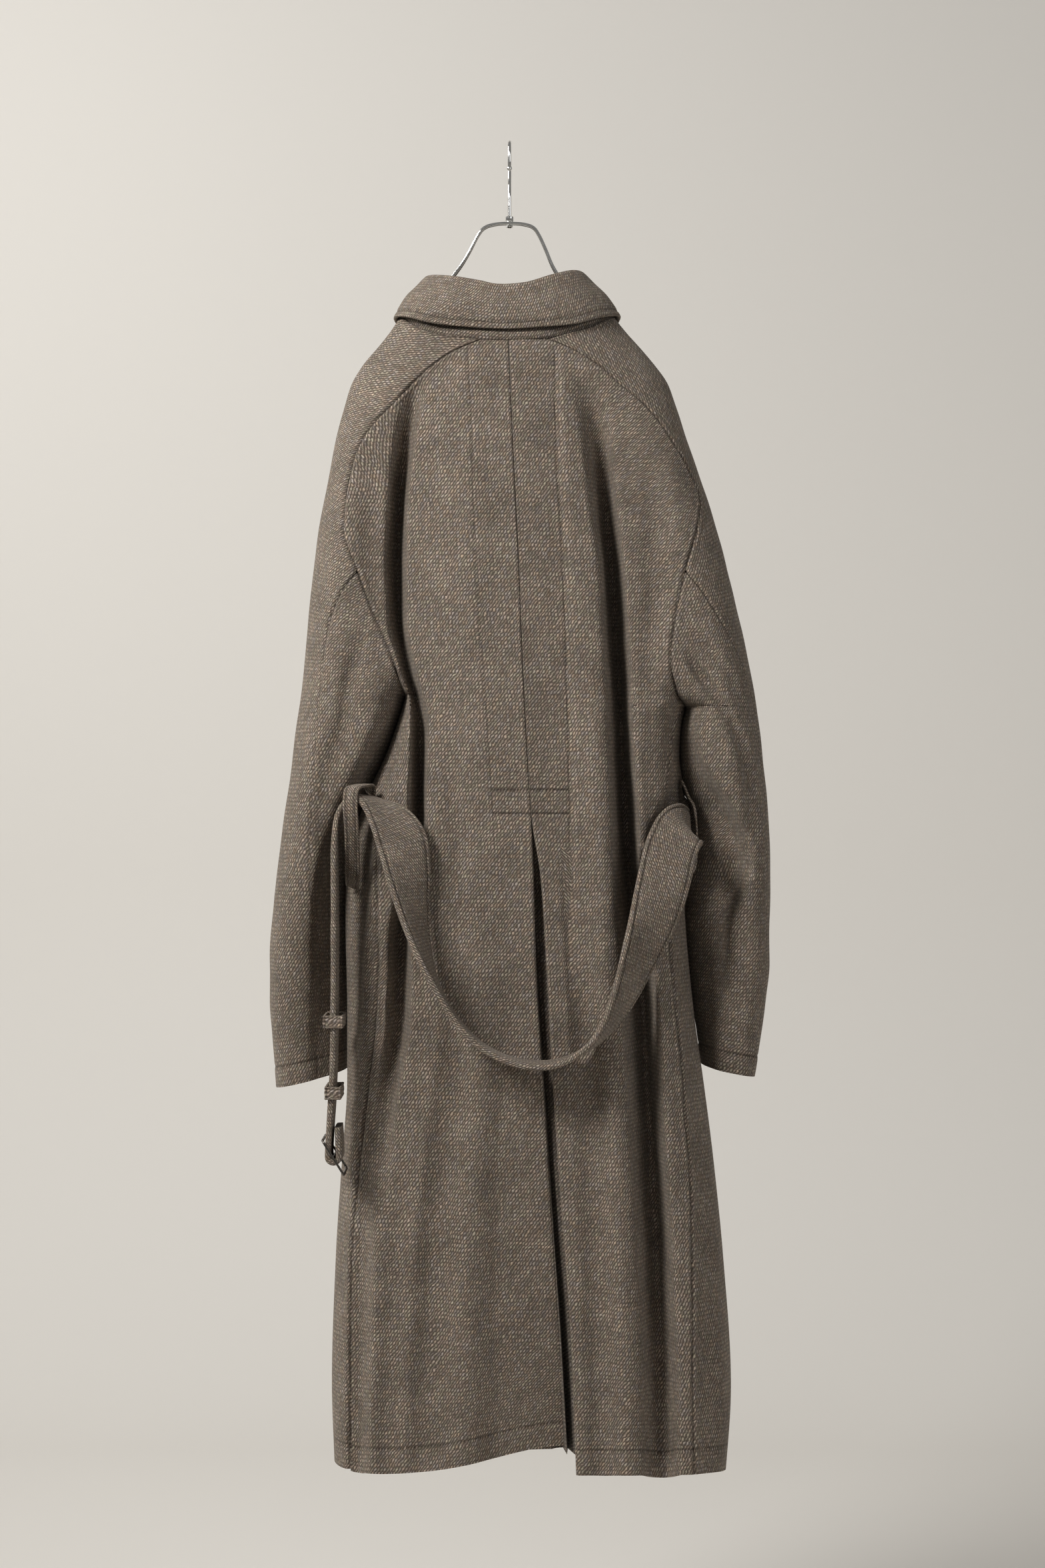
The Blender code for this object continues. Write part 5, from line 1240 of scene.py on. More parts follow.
def belt_stations():
    """The belt from its end at the buckle, up to the left loop, in a U across the back to the right loop,
    forward beside the body, and down in front to its free end."""
    bx, by, bd = BAR_AT
    across = (0, BELT_WIDTH, 0)
    round_bar = BAR_RADIUS + 0.8 + 3.5
    stations = [((bx + 4.3, by, bd - 30), across), ((bx + 5.2, by, bd - 12), across)]
    for angle in (0, 45, 90, 135, 180):
        turn = math.radians(angle)
        stations.append(((bx + round_bar * math.cos(turn), by, bd + round_bar * math.sin(turn)), across))
    stations += [
        ((bx - 5.2, by, bd - 12), across),
        ((bx - 4.1, by, bd - 30), across),
        ((-179, -101, 960), across),
        ((-178, -98, 880), across),
        ((-178, -96, 800), (0, 54, 0)),
        ((-178, -95, 735), (0, 48, 0)),
        ((-174, -94, 703), (0, 43, 0)),
        ((-163, -94, 688), (0, 42, 0)),
        ((-150, -97, 686), (1, 42, 0)),
        ((-138, -105, 691), (12, 46, -8)),
        ((-122, -114, 706), (32, 38, -20)),
        ((-109, -120, 730), (44, 26, -24)),
        ((-103, -124, 761), (40, 36, -18)),
        ((-98, -127, 795), (28, 46, -14)),
        ((-92, -129, 825), (16, 52, -11)),
        ((-82, -130, 858), (5, 56, -5)),
        ((-69, -130, 887), (0, 56, 0)),
        ((-52, -128, 914), (0, 56, 0)),
        ((-32, -128, 935), (0, 56, 0)),
        ((-8, -128, 949), (0, 56, 0)),
        ((18, -128, 956), (0, 56, 0)),
        ((44, -128, 956), (0, 56, 0)),
        ((68, -127, 947), (3, 56, 2)),
        ((88, -126, 932), (8, 55, 5)),
        ((104, -124, 912), (16, 53, 7)),
        ((118, -122, 884), (26, 49, 7)),
        ((132, -119, 848), (38, 41, 4)),
        ((148, -115, 805), (51, 22, -2)),
        ((158, -112, 768), (55, 12, 0)),
        ((164, -109, 742), (54, 6, 10)),
        ((170, -104, 727), (50, 0, 20)),
        ((175, -95, 719), (46, -6, 28)),
        ((180, -80, 716), (34, -4, 42)),
        ((184, -60, 718), (16, -8, 52)),
        ((186, -38, 723), (4, -10, 54)),
        ((186, -10, 728), (0, -8, 55)),
        ((186, 20, 732), (0, -6, 55)),
        ((186, 48, 737), (2, -6, 55)),
        ((184, 72, 741), (18, -4, 52)),
        ((180, 93, 746), (35, 2, 42)),
        ((175, 108, 754), (47, 2, 28)),
        ((171, 118, 769), (52, 0, 18)),
        ((168, 124, 792), (55, 0, 8)),
        ((166, 127, 830), (56, 3, 2)),
        ((165, 129, 900), (56, 4, 0)),
        ((165, 131, 1000), (56, 6, 0)),
    ]
    return stations


def strap_section(width, thick, stitch_in, steps=9):
    """Half widths and heights round a flat strap with soft edges and a furrow beside each edge."""
    half, round_ = width / 2, thick / 2
    flat = half - round_
    top = np.linspace(-flat, flat, 2 * steps)
    if stitch_in:
        beside = half - stitch_in + np.array([-2.2, -1.1, 0, 1.1, 2.2])
        top = np.unique(np.concatenate((np.linspace(-flat, flat, 2 * steps - 10), beside, -beside)))
        top = np.clip(top, -flat, flat)
    height = np.full_like(top, round_)
    if stitch_in:
        height -= 0.2 * thick * np.exp(-(((half - np.abs(top)) - stitch_in) / 1.3) ** 2)
    turn = np.radians(np.linspace(90, -90, 9)[1:-1])
    end = np.column_stack((half - round_ + round_ * np.cos(turn), round_ * np.sin(turn)))
    upper = np.column_stack((top, height))
    return np.vstack((upper, end, upper[::-1] * (1, -1), end[::-1] * (-1, 1)))


def strap(name, stations, steps, thick, stitch_in, seed, pull=0.0):
    """A sewn strap through stations: centre x, y, drop and the vector across it from one edge to the other."""
    flat = through([tuple(c) + tuple(w) for c, w in stations], steps)
    centre, across = flat[:, :3], flat[:, 3:]
    travel = unit(np.gradient(centre, axis=0))
    width = np.linalg.norm(across, axis=1)
    across = unit(across - travel * np.sum(across * travel, axis=1)[:, None])
    normal = unit(np.cross(travel, across))
    run = run_along(centre)
    rings, weave, shade = [], [], []
    sizes = bpy.context.scene.coat_sizes
    for c, w, n, wide, along in zip(centre, across, normal, width, run):
        section = strap_section(wide, thick, stitch_in)
        swell = 1 + pull * math.sin(along * 0.11) * math.sin(along * 0.037 + 1)
        rings.append(c + section[:, :1] * w + section[:, 1:] * swell * n)
        around = run_along(round_again(section))
        weave.append(np.column_stack((around, np.full(len(around), along))))
        from_edge = wide / 2 - np.abs(section[:, 0])
        # Painted shade along the stitch line beside each edge.
        shade.append(painted_line_shade(from_edge - stitch_in, sizes, along, 1.1, 0.8))
    return swept(name, rings, np.array(weave) * FINER + seed * SEED_STEP, np.array(shade)), run[-1] * MM


def laid_on(side, drop, in_from_side, out):
    """A loop's end, laid on the body this far round from its side and this far off it."""
    line = half_line(side, "body", drop)
    length = line.at("back", BODY_SIDE.at(side, drop) - SIDES[side] * in_from_side)
    ends, _ = line.read(np.array([length - LOOP_WIDTH / 2, length + LOOP_WIDTH / 2]))
    if side == "left":
        ends = ends[::-1]
    across = ends[1] - ends[0]
    away = np.array((across[1], -across[0])) / np.linalg.norm(across)
    middle = (ends[0] + ends[1]) / 2 + away * out
    return (middle[0], middle[1], drop), (across[0], across[1], 0)


def loop_stations(side):
    if side == "left":
        across = (LOOP_WIDTH, 0, 0)
        return [
            laid_on("left", 684, 12, 6.5), ((-145, -72, 674), (14, -6, 0)), ((-153, -96, 674), across),
            ((-160, -119, 678), across), ((-161, -127, 693), across), ((-160, -121, 715), across),
            ((-160, -103, 742), across), ((-161, -84, 764), (15, -6, 0)), laid_on("left", 779, 13, 6.5),
        ]
    across = (0, LOOP_WIDTH, 0)
    return [
        ((179, -30, 668), across), ((182.4, -30, 675), across), ((187, -30, 686), across),
        ((193.0, -30, 698), across), ((195.0, -30, 728), across), ((193.5, -30, 757), across),
        ((188, -30, 768), across), ((184, -30, 776), across),
    ]


class COAT_OT_belt(bpy.types.Operator):
    """Add the belt, hanging in a loop across the back, and the two loops that carry it"""

    bl_idname = "coat.belt"
    bl_label = "Belt"

    def execute(self, context):
        belt, length = strap("wool_belt", belt_stations(), 760, thick=6.6, stitch_in=5.0, seed=31, pull=0.05)
        dress(belt, "belt", "belt")
        for side, thick in (("left", 3.0), ("right", 2.4)):
            loop, length = strap("wool_belt_loop_" + side, loop_stations(side), 90, thick, stitch_in=3.2, seed=33)
            sew(loop, "belt_loop_" + side, "belt")
        return {"FINISHED"}


# Each keeper's drop, half its breadth, and how far its middle lies behind the buckle's bar.
KEEPERS = {"belt_keeper_1": (913, 10.4, 3.6), "belt_keeper_2": (985, 8.6, 0.4)}
KEEPER_X = -178.4
KEEPER_HEIGHT = 13
KEEPER_THICK = 2.6
KEEPER_ROOM = 3.6           # from the belt's edge to the keeper's outside


def rounded_rectangle(half_x, half_y, corner, steps):
    points = []
    for quarter, (sx, sy) in enumerate(((1, 1), (-1, 1), (-1, -1), (1, -1))):
        for k in range(steps + 1):
            turn = math.pi / 2 * (quarter + k / steps)
            points.append((sx * (half_x - corner) + corner * math.cos(turn),
                           sy * (half_y - corner) + corner * math.sin(turn)))
    return points


class COAT_OT_keepers(bpy.types.Operator):
    """Add the two narrow bands round the belt's hanging end"""

    bl_idname = "coat.keepers"
    bl_label = "Keepers"

    def execute(self, context):
        for name, (drop, half_x, behind) in KEEPERS.items():
            x, y = KEEPER_X, BAR_AT[1] + behind
            half_y = BELT_WIDTH / 2 + KEEPER_ROOM
            half = KEEPER_THICK / 2
            path = through(rounded_rectangle(half_x - half, half_y - half, 3.0, 2), 96, closed=True)
            travel = unit(np.roll(path, -1, axis=0) - np.roll(path, 1, axis=0))
            outward = np.column_stack((travel[:, 1], -travel[:, 0]))
            section = strap_section(KEEPER_HEIGHT, KEEPER_THICK, 3.0, 6)
            rings = [np.column_stack((x + p[0] + o[0] * section[:, 1], y + p[1] + o[1] * section[:, 1],
                                      drop + section[:, 0])) for p, o in zip(path, outward)]
            run = run_along(round_again(path))
            around = np.arange(len(section) + 1) * 1.1
            weave = np.stack(np.broadcast_arrays(around[None, :], run[:, None]), axis=-1) + 37 * SEED_STEP
            band = swept("wool_" + name, rings, weave, closed_run=True)
            sew(band, name, "belt")
        return {"FINISHED"}


# ---------------------------------------------------------------- buckle


class COAT_OT_buckle(bpy.types.Operator):
    """Add the flat frame of the buckle and its middle bar"""

    bl_idname = "coat.buckle"
    bl_label = "Buckle"

    def execute(self, context):
        bpy.ops.mesh.primitive_plane_add(size=1)
        rim = context.object
        with editing():
            bpy.ops.transform.resize(value=(FRAME_LENGTH * MM, FRAME_WIDTH * MM, 1))
            bpy.ops.mesh.bevel(offset=FRAME_CORNER, segments=8, affect="VERTICES")
            bpy.ops.mesh.select_all(action="SELECT")
            bpy.ops.mesh.inset(thickness=FRAME_BREADTH)
            bpy.ops.mesh.delete(type="FACE")
            bpy.ops.mesh.select_all(action="SELECT")
            bpy.ops.transform.translate(value=(0, 0, -FRAME_THICK / 2))
            bpy.ops.mesh.extrude_region_move(TRANSFORM_OT_translate={"value": (0, 0, FRAME_THICK)})
            face_outwards()
        bpy.ops.object.modifier_add(type="BEVEL")
        soft = rim.modifiers[-1]
        soft.width, soft.segments, soft.angle_limit = FRAME_SOFT, 4, math.radians(50)
        bpy.ops.object.modifier_apply(modifier=soft.name)
        bpy.ops.mesh.primitive_cylinder_add(vertices=24, radius=FRAME_THICK / 2, depth=FRAME_WIDTH * MM - 0.0028,
                                            rotation=(math.pi / 2, 0, 0))
        join(rim, context.object)
        place = Matrix.Translation(Vector((BAR_AT[0], BAR_AT[1], -BAR_AT[2])) * MM)
        rim.data.transform(place @ Matrix.Rotation(math.radians(90 - FRAME_TILT), 4, "Y"))
        rim.name = rim.data.name = "metal_buckle_frame"
        smooth_but_for(rim, 50)
        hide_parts("buckle_frame")
        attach(rim, "buckle")
        dark = metal("buckle_dark_metal", context.scene.coat_metal.buckle, smoothest=0.28, worn=0.45)
        rim.data.materials.append(dark)
        return {"FINISHED"}


# ---------------------------------------------------------------- hanger


def bent_wire(name, points, radius, closed):
    """Wire of one thickness bent along points, as a mesh."""
    curve = bpy.data.curves.new(name, "CURVE")
    curve.dimensions = "3D"
    curve.bevel_depth, curve.bevel_resolution, curve.use_fill_caps = radius * MM, 6, not closed
    spline = curve.splines.new("POLY")
    spline.points.add(len(points) - 1)
    spline.points.foreach_set("co", np.column_stack((points * (MM, MM, -MM), np.ones(len(points)))).ravel())
    spline.use_cyclic_u = closed
    placed(name, curve)
    bpy.ops.object.convert(target="MESH")
    thing = bpy.context.object
    thing.data.shade_smooth()
    return thing


def hanger_loop():
    middle = ((0, 3.6, 83.5),)
    left = ((-15, 3.8, 84.5), (-26, 4.2, 88), (-33, 4.6, 96), (-42, 5.5, 113), (-51, 6.5, 128), (-64, 8, 145),
            (-78, 9, 163), (-92, 10, 182), (-106, 10, 199), (-124, 10, 217), (-142, 9, 236), (-153, 7, 249),
            (-157, 3.5, 257))
    right = ((15, 3.8, 84.5), (25, 4.2, 88), (31, 4.6, 96), (38, 5.5, 111), (45, 6.5, 128), (54, 8, 143),
             (65, 9, 159), (79, 10, 179), (95, 10, 197), (117, 10, 215), (139, 9, 235), (151, 7, 249),
             (156, 3.5, 257))
    back = [(x, -y, d) for x, y, d in left[::-1] + middle + right]
    front = [(x, y, d) for x, y, d in right[::-1] + middle + left]
    return through(back + front, 420, closed=True)


def hook_line():
    path = [(0, 0, 75.6), (0, 0, 62), (0, 0.5, 52), (0, 5, 43), (0, 11, 35), (0, 15.5, 26)]
    for angle in range(0, 181, 15):
        turn = math.radians(angle - 8)
        path.append((0, HOOK_ROUND * math.cos(turn), HOOK_ROUND - HOOK_WIRE / 2 - HOOK_ROUND * math.sin(turn)))
    path += [(0, -16.6, 21), (0, -15.2, 26.0)]
    return through(path, 170)


def turned_metal(name, profile):
    """A small part turned on a lathe: its outline spun round the upright line."""
    mesh = bpy.data.meshes.new(name)
    mesh.from_pydata([(r * MM, 0, -d * MM) for d, r in profile], [(k, k + 1) for k in range(len(profile) - 1)], [])
    thing = placed(name, mesh)
    with editing():
        bpy.ops.mesh.spin(steps=40, angle=2 * math.pi, center=(0, 0, 0), axis=(0, 0, 1))
        bpy.ops.mesh.select_all(action="SELECT")
        bpy.ops.mesh.remove_doubles(threshold=0.00001)
        face_outwards()
    smooth_but_for(thing, 35)
    return thing


# The nut and the rivet below it, as drops and radii.
NUT_OUTLINE = ((75.9, 0), (75.9, 2.6), (76.1, 3.6), (76.7, 4.2), (80.8, 4.2), (81.4, 3.8), (81.7, 3.0), (81.7, 1.8),
               (85.3, 1.8), (85.3, 2.8), (85.7, 3.3), (86.6, 3.6), (87.6, 3.2), (88.6, 2.0), (89.0, 0))


class COAT_OT_hanger(bpy.types.Operator):
    """Add the double-wire hanger, its nut and its hook"""

    bl_idname = "coat.hanger"
    bl_label = "Hanger"

    def execute(self, context):
        chrome = metal("hanger_chrome", context.scene.coat_metal.wire, smoothest=0.10, worn=0.24)
        wires = bent_wire("chrome_hanger_wires", hanger_loop(), WIRE / 2, closed=True)
        line = hook_line()
        hook = bent_wire("chrome_hanger_hook", line, HOOK_WIRE / 2, closed=False)
        tip = line[-1] + (0, 0.9, 2.0)
        bpy.ops.mesh.primitive_uv_sphere_add(segments=24, ring_count=16, radius=HOOK_BALL,
                                             location=tuple(tip * (MM, MM, -MM)))
        ball = context.object
        bpy.ops.object.transform_apply(location=True, rotation=True, scale=True)
        ball.data.shade_smooth()
        join(hook, ball)
        nut = turned_metal("chrome_hanger_nut", NUT_OUTLINE)
        for thing, node in ((wires, "hanger_wires"), (hook, "hanger_hook"), (nut, "hanger_nut")):
            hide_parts(node)
            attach(thing, COAT_BODY)
            thing.data.materials.clear()
            thing.data.materials.append(chrome)
        return {"FINISHED"}


# ---------------------------------------------------------------- materials


class Board:
    """Adds nodes to one tree and links them."""

    def __init__(self, tree):
        self.tree = tree
        self.count = 0

    def add(self, kind, inputs=(), **settings):
        node = self.tree.nodes.new(kind)
        node.location = (220 * (self.count % 12) - 1400, -260 * (self.count // 12))
        self.count += 1
        for name, value in settings.items():
            setattr(node, name, value)
        self.feed(node, dict(inputs))
        return node

    def feed(self, node, inputs):
        """Link each of a node's inputs, or set it."""
        for key, value in inputs.items():
            socket = node.inputs[key]
            if isinstance(value, bpy.types.NodeSocket):
                self.tree.links.new(value, socket)
            else:
                socket.default_value = value

    def math(self, operation, *values, clamp=False):
        node = self.add("ShaderNodeMath", dict(enumerate(values)), operation=operation, use_clamp=clamp)
        return node.outputs[0]

    def mix(self, factor, a, b, blend="MIX"):
        node = self.add("ShaderNodeMix", {0: factor, 6: a, 7: b}, data_type="RGBA", blend_type=blend)
        return node.outputs[2]

    def between(self, value, low, high, to_low=0.0, to_high=1.0, soft=True):
        node = self.add("ShaderNodeMapRange", {0: value, 1: low, 2: high, 3: to_low, 4: to_high},
                        interpolation_type="SMOOTHSTEP" if soft else "LINEAR")
        return node.outputs[0]

    def noise(self, vector, scale, detail=2.0, rough=0.5):
        """A noise texture, its colour and its value."""
        node = self.add("ShaderNodeTexNoise", {"Vector": vector, "Scale": scale, "Detail": detail, "Roughness": rough})
        return node.outputs["Color"], node.outputs["Fac"]

    def vector(self, operation, a, b):
        inputs = {0: a, "Scale": b} if operation == "SCALE" else {0: a, 1: b}
        return self.add("ShaderNodeVectorMath", inputs, operation=operation).outputs[0]


def new_material(name):
    """A material, the board for its nodes, and its shader."""
    material = bpy.data.materials.new(name)
    material.use_nodes = True
    return material, Board(material.node_tree), material.node_tree.nodes["Principled BSDF"]


def group_tree(name, inputs, outputs):
    tree = bpy.data.node_groups.new(name, "ShaderNodeTree")
    for label, kind, value in inputs:
        socket = tree.interface.new_socket(name=label, in_out="INPUT", socket_type=kind)
        if value is not None:
            socket.default_value = value
    for label, kind in outputs:
        tree.interface.new_socket(name=label, in_out="OUTPUT", socket_type=kind)
    board = Board(tree)
    return tree, board, board.add("NodeGroupInput").outputs, board.add("NodeGroupOutput")


def grain_set(b, given, parts, half_step, wide, tall):
    """Slanted grains in rows: how much of a grain is at each place, and numbers drawn for each grain."""
    row_at = b.math("ADD", b.math("DIVIDE", parts["Y"], given["Length"]), half_step)
    row = b.math("FLOOR", row_at)
    down = b.math("SUBTRACT", b.math("FRACT", row_at), 0.5)
    across_at = b.math("ADD", b.math("DIVIDE", parts["X"], given["Width"]), half_step)
    column_at = b.math("MULTIPLY_ADD", row, -0.08, across_at)
    column = b.math("FLOOR", column_at)
    along = b.math("SUBTRACT", b.math("FRACT", column_at), 0.5)
    # the grain's leaning axis, in units of the pitch across
    cell = b.math("DIVIDE", given["Length"], given["Width"])
    lean = b.math("MULTIPLY", b.math("MULTIPLY", down, given["Slant"]), cell)
    across = b.math("DIVIDE", b.math("WRAP", b.math("ADD", along, lean), 0.5, -0.5), wide)
    upright = b.math("DIVIDE", down, tall)
    far = b.math("SQRT", b.math("ADD", b.math("MULTIPLY", across, across), b.math("MULTIPLY", upright, upright)))
    cell = b.add("ShaderNodeCombineXYZ", {0: column, 1: row, 2: half_step})
    chance = b.add("ShaderNodeTexWhiteNoise", {"Vector": cell.outputs[0]}, noise_dimensions="3D")
    return b.between(far, 1.25, 0.25), b.add("ShaderNodeSeparateColor", {0: chance.outputs["Color"]}).outputs


@functools.lru_cache(maxsize=None)
def tweed_group():
    """Slanted pale grains in rows on a dark ground, with yarns of several browns, loose fibres and painted shade."""
    tree, b, given, result = group_tree(
        "Tweed Weave",
        [("Weave", "NodeSocketVector", None), ("Ground", "NodeSocketColor", (0.06, 0.05, 0.04, 1)),
         ("Grain", "NodeSocketColor", (0.3, 0.26, 0.2, 1)), ("Width", "NodeSocketFloat", 0.0031),
         ("Length", "NodeSocketFloat", 0.0044), ("Slant", "NodeSocketFloat", 0.45), ("Shade", "NodeSocketFloat", 0.0)],
        [("Color", "NodeSocketColor"), ("Height", "NodeSocketFloat"), ("Roughness", "NodeSocketFloat")],
    )
    weave = given["Weave"]
    moved = weave
    for scale, far in ((60.0, 0.0036), (330.0, 0.0021)):
        drift, _ = b.noise(weave, scale, 1.0)
        shift = b.vector("SCALE", b.vector("ADD", drift, (-0.5, -0.5, 0.0)), far)
        moved = b.vector("ADD", moved, shift)
    parts = b.add("ShaderNodeSeparateXYZ", {0: moved}).outputs
    _, fibre = b.noise(weave, 2300.0, 2.0, 0.7)
    pillow, chances = grain_set(b, given, parts, 0.0, 0.31, 0.46)
    between_rows, others = grain_set(b, given, parts, 0.5, 0.20, 0.30)
    strength = b.between(chances[0], 0.0, 1.0, 0.34, 1.1, False)
    weaker = b.between(others[0], 0.0, 1.0, 0.1, 0.7, False)
    yarn = b.math("MAXIMUM", b.math("MULTIPLY", pillow, strength), b.math("MULTIPLY", between_rows, weaker))
    grain = b.math("MULTIPLY", yarn, b.between(fibre, 0.3, 0.7, 0.75, 1.12, False), clamp=True)
    # yarns of several browns, row by row and in patches
    _, patch = b.noise(weave, 95.0, 3.0, 0.6)
    tone = b.math("ADD", b.math("MULTIPLY", chances[1], 0.55), b.math("MULTIPLY", patch, 0.45))
    ramp = b.add("ShaderNodeValToRGB", {0: tone})
    stops = ramp.color_ramp.elements
    stops[0].position, stops[0].color = 0.25, (0.97, 0.99, 1.08, 1)
    stops[1].position, stops[1].color = 0.78, (1.06, 0.99, 0.91, 1)
    for position, colour in ((0.42, (0.98, 1.02, 0.95, 1)), (0.58, (1.03, 0.98, 1.01, 1))):
        stops.new(position).color = colour
    mottle = b.between(b.noise(weave, 22.0, 3.0, 0.55)[1], 0.3, 0.7, 0.86, 1.14, False)
    flecks = b.between(fibre, 0.35, 0.75, 0.82, 1.22, False)
    cloth = b.mix(grain, given["Ground"], given["Grain"])
    tint = b.mix(1.0, cloth, ramp.outputs[0], "MULTIPLY")
    shade = b.math("MULTIPLY", mottle, flecks)
    grey = b.add("ShaderNodeCombineColor", {0: shade, 1: shade, 2: shade})
    worn = b.mix(1.0, tint, grey.outputs[0], "MULTIPLY")
    # Painted shade: where the Shade input is high the colour darkens to about a quarter, for shadow in seams, stitches
    # and the pleat.
    painted_shade_colour = b.mix(1.0, worn, (0.26, 0.25, 0.25, 1), "MULTIPLY")
    final = b.mix(given["Shade"], worn, painted_shade_colour)
    height = b.math("MULTIPLY_ADD", fibre, 0.25, b.math("MULTIPLY", yarn, 0.7))
    b.feed(result, {"Color": final, "Height": height, "Roughness": b.between(grain, 0.0, 1.0, 0.98, 0.86, False)})
    return tree


@functools.lru_cache(maxsize=None)
def wool(kind):
    """The tweed of one group of pieces: body, sleeve, collar or belt."""
    finish = bpy.context.scene.coat_tweed
    material, b, shader = new_material("wool_tweed_" + kind)
    tint = {"body": 1.0, "sleeve": 0.99, "collar": 1.0, "belt": 1.02}[kind]
    ground, grain = ([c * tint for c in colour[:3]] + [1.0] for colour in (finish.ground, finish.grain))
    place = b.add("ShaderNodeUVMap", uv_map="weave")
    # The painted shade kept on each point of the cloth pieces.
    shade = b.add("ShaderNodeAttribute", attribute_name="shade")
    tweed = b.add("ShaderNodeGroup", {
        "Weave": place.outputs[0], "Shade": shade.outputs["Fac"], "Ground": ground, "Grain": grain,
        "Width": finish.grain_width, "Length": finish.grain_length,
    }, node_tree=tweed_group()).outputs
    bump = b.add("ShaderNodeBump", {"Strength": 0.9, "Distance": finish.relief, "Height": tweed["Height"]})
    b.feed(shader, {
        "Base Color": tweed["Color"], "Roughness": tweed["Roughness"], "Normal": bump.outputs[0],
        "Sheen Weight": 0.12, "Sheen Roughness": 0.55, "Sheen Tint": (0.85, 0.78, 0.68, 1),
        "Specular IOR Level": 0.15,
    })
    return material


@functools.lru_cache(maxsize=None)
def wear_group():
    """Fine scratches and a little haze for metal."""
    tree, b, given, result = group_tree(
        "Fine Wear",
        [("Place", "NodeSocketVector", None), ("Smooth", "NodeSocketFloat", 0.1), ("Worn", "NodeSocketFloat", 0.3)],
        [("Roughness", "NodeSocketFloat"), ("Height", "NodeSocketFloat")],
    )
    _, haze = b.noise(given["Place"], 140.0, 4.0, 0.6)
    _, scratch = b.noise(given["Place"], 1900.0, 2.0, 0.6)
    mixed = b.math("MULTIPLY", haze, scratch)
    spread = b.math("SUBTRACT", given["Worn"], given["Smooth"])
    rough = b.math("MULTIPLY_ADD", b.between(mixed, 0.15, 0.45), spread, given["Smooth"])
    b.feed(result, {"Roughness": rough, "Height": scratch})
    return tree


def metal(name, colour, smoothest, worn):
    material, b, shader = new_material(name)
    place = b.add("ShaderNodeTexCoord").outputs["Object"]
    given = {"Place": place, "Smooth": smoothest, "Worn": worn}
    wear = b.add("ShaderNodeGroup", given, node_tree=wear_group()).outputs
    bump = b.add("ShaderNodeBump", {"Strength": 0.15, "Distance": 0.00004, "Height": wear["Height"]})
    b.feed(shader, {"Base Color": colour, "Metallic": 1.0, "Roughness": wear["Roughness"], "Normal": bump.outputs[0]})
    return material


def dress(thing, node, kind):
    """Give a cloth piece its wool and its place: it stands for one node and hangs with the coat."""
    thing.data.materials.clear()
    thing.data.materials.append(wool(kind))
    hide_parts(node)
    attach(thing, COAT_BODY)


def sew(thing, node, kind):
    """Dress a piece."""
    dress(thing, node, kind)


# ---------------------------------------------------------------- stage


CAMERA_AT = (0.01365, -3.6, -0.672)
LENS, SENSOR = 78.7, 36.0
FLOOR_AT = (0, -2.0, -1.72)
FLOOR_SIZE = (14, 9.4, 1)
WALL_HEIGHT = 6.5
BEND = 0.9


def backdrop(look):
    """One sheet, pale from the front and clear from behind: floor, a wide curve, and wall."""
    bpy.ops.object.select_all(action="DESELECT")
    bpy.ops.mesh.primitive_plane_add(size=1, location=FLOOR_AT)
    sweep = bpy.context.object
    sweep.name = "backdrop"
    with editing():
        bpy.ops.transform.resize(value=FLOOR_SIZE)
    bpy.ops.object.transform_apply(location=True, rotation=True, scale=True)
    mesh = sweep.data
    far = max(vertex.co.y for vertex in mesh.vertices)
    for vertex in mesh.vertices:
        vertex.select = abs(vertex.co.y - far) < 1e-4
    for edge in mesh.edges:
        edge.select = all(mesh.vertices[v].select for v in edge.vertices)
    for face in mesh.polygons:
        face.select = False
    bpy.ops.object.mode_set(mode="EDIT")
    bpy.ops.mesh.select_mode(type="EDGE")
    bpy.ops.mesh.extrude_region_move(TRANSFORM_OT_translate={"value": (0, 0, WALL_HEIGHT)})
    bpy.ops.object.mode_set(mode="OBJECT")
    bpy.ops.object.modifier_add(type="BEVEL")
    bend = sweep.modifiers[-1]
    bend.width, bend.segments, bend.limit_method = BEND, 24, "ANGLE"
    bpy.ops.object.modifier_apply(modifier=bend.name)
    sweep.data.shade_smooth()
    material, b, shader = new_material("pale_wall")
    _, cloud = b.noise(b.add("ShaderNodeTexCoord").outputs["Object"], 1.1, 2.0)
    pale = tuple(c * 0.985 for c in look.wall[:3]) + (1,)
    behind = b.add("ShaderNodeNewGeometry").outputs["Backfacing"]
    b.feed(shader, {
        "Base Color": b.mix(cloud, pale, tuple(look.wall)), "Roughness": 0.9, "Specular IOR Level": 0.2,
        "Alpha": b.between(behind, 0.0, 1.0, 1.0, 0.0),
    })
    sweep.data.materials.append(material)
    return sweep


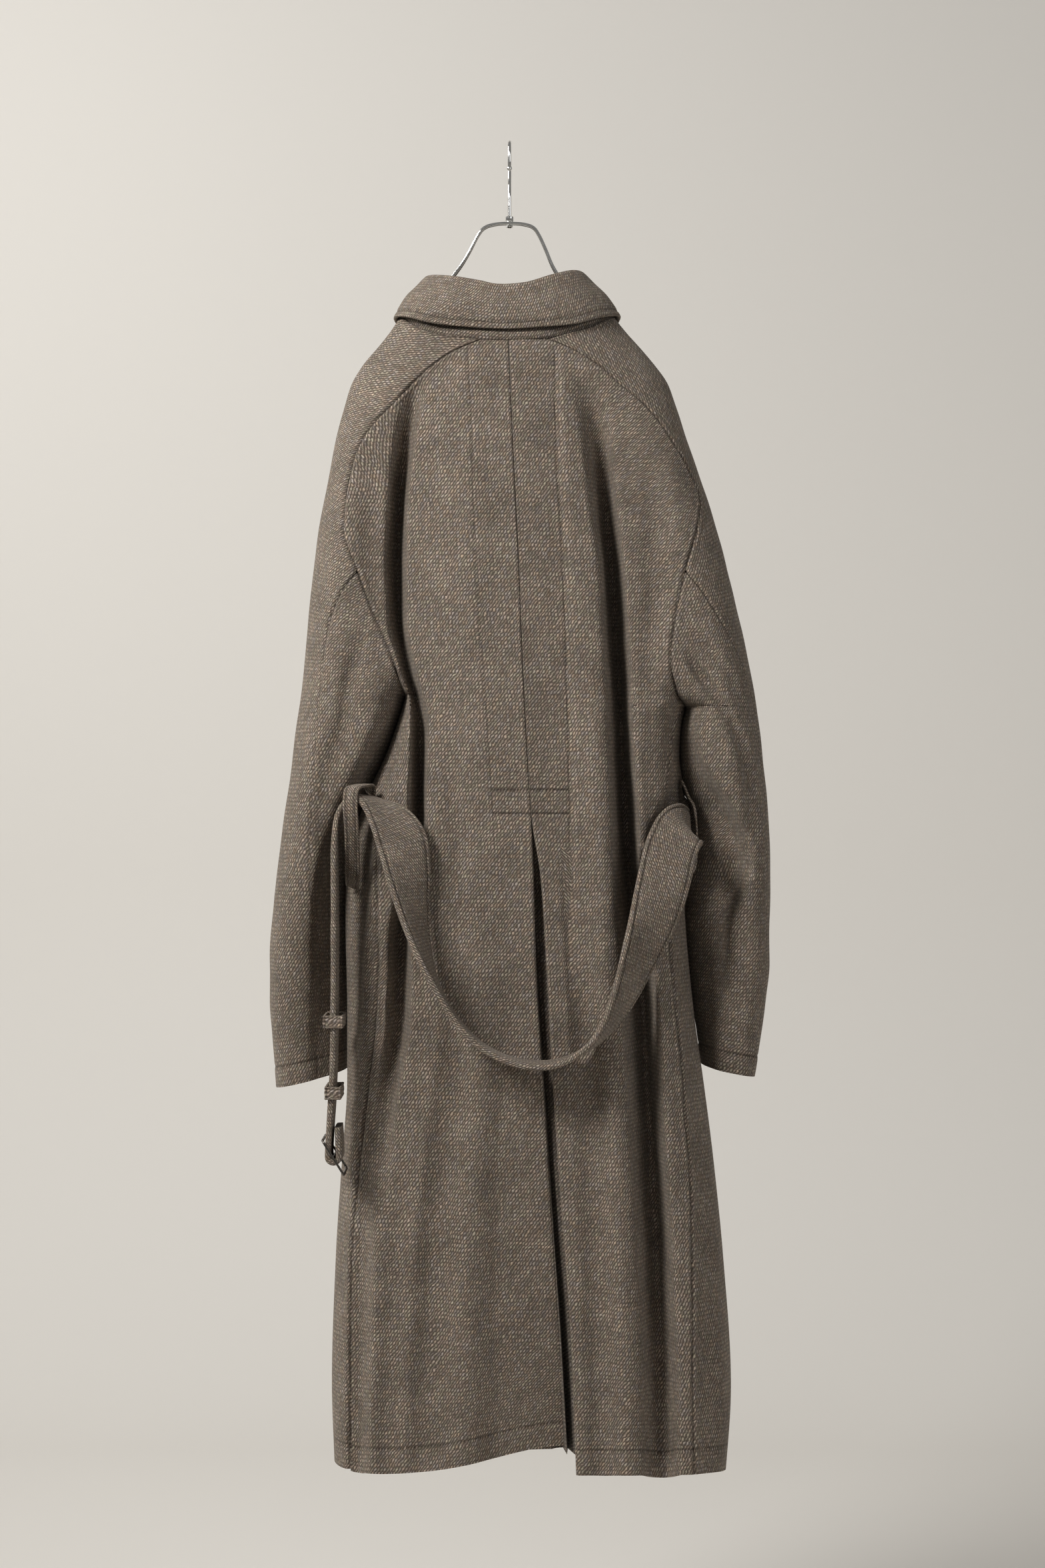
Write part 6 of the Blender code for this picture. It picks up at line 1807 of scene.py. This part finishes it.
class COAT_OT_stage(bpy.types.Operator):
    """Add the camera, the pale wall and floor, and the soft lights"""

    bl_idname = "coat.stage"
    bl_label = "Stage"

    def execute(self, context):
        look = context.scene.coat_stage
        bpy.ops.object.camera_add(location=CAMERA_AT, rotation=(math.pi / 2, 0, 0))
        camera = context.object
        camera.data.lens, camera.data.sensor_width = LENS, SENSOR
        context.scene.camera = camera
        sweep = backdrop(look)
        for name, place, aim, size, power, colour in (
            ("key", (-1.55, -1.9, 0.95), (0.05, 0, -0.4), 1.0, look.key, (1.0, 0.985, 0.96)),
            ("side", (2.4, -2.6, 0.4), (0, 0, -0.5), 1.6, look.key * 0.48, (0.99, 0.99, 1.0)),
            ("wall", (-1.9, 0.4, 1.0), (-0.1, 2.4, 0.0), 1.4, look.key * 1.05, (1.0, 0.985, 0.955)),
        ):
            bpy.ops.object.light_add(type="AREA", location=place)
            light = context.object
            light.name = name
            light.data.shape, light.data.size = "DISK", size
            light.data.energy, light.data.color = power, colour
            light.data.spread = math.radians(126 if name == "key" else 180)
            light.rotation_euler = (Vector(aim) - Vector(place)).to_track_quat("-Z", "Y").to_euler()
        world = bpy.data.worlds.new("studio")
        world.use_nodes = True
        sky = world.node_tree.nodes["Background"]
        sky.inputs["Color"].default_value = (1.0, 0.985, 0.96, 1)
        sky.inputs["Strength"].default_value = look.fill
        context.scene.world = world
        context.scene.view_settings.view_transform = "Standard"
        context.scene.view_settings.look = "None"
        return {"FINISHED"}


# ---------------------------------------------------------------- panel


PIECES = ("coat.back", "coat.fronts", "coat.sleeves", "coat.collar", "coat.belt", "coat.keepers", "coat.buckle",
          "coat.hanger", "coat.stage")


class COAT_PT_panel(bpy.types.Panel):
    """Lists the coat's pieces and their sizes"""

    bl_idname = "COAT_PT_panel"
    bl_label = "Coat"
    bl_space_type = "VIEW_3D"
    bl_region_type = "UI"
    bl_category = "Coat"

    def draw(self, context):
        for group in (context.scene.coat_sizes, context.scene.coat_tweed, context.scene.coat_metal,
                      context.scene.coat_stage):
            box = self.layout.box()
            for name in group.__annotations__:
                box.prop(group, name)
        for piece in PIECES:
            self.layout.operator(piece)


GROUPS = {"coat_sizes": CoatSizes, "coat_tweed": TweedFinish, "coat_metal": MetalFinish, "coat_stage": StageSettings}
CLASSES = (CoatSizes, TweedFinish, MetalFinish, StageSettings, COAT_OT_back, COAT_OT_fronts, COAT_OT_sleeves,
           COAT_OT_collar, COAT_OT_belt, COAT_OT_keepers, COAT_OT_buckle, COAT_OT_hanger, COAT_OT_stage, COAT_PT_panel)


def register():
    for cls in CLASSES:
        bpy.utils.register_class(cls)
    for name, group in GROUPS.items():
        setattr(bpy.types.Scene, name, PointerProperty(type=group))


def unregister():
    for name in GROUPS:
        delattr(bpy.types.Scene, name)
    for cls in reversed(CLASSES):
        bpy.utils.unregister_class(cls)


def main():
    register()
    bpy.ops.coat.back()
    bpy.ops.coat.fronts()
    bpy.ops.coat.sleeves()
    bpy.ops.coat.collar()
    bpy.ops.coat.belt()
    bpy.ops.coat.keepers()
    bpy.ops.coat.buckle()
    bpy.ops.coat.hanger()
    bpy.ops.coat.stage()


if __name__ == "__main__":
    main()
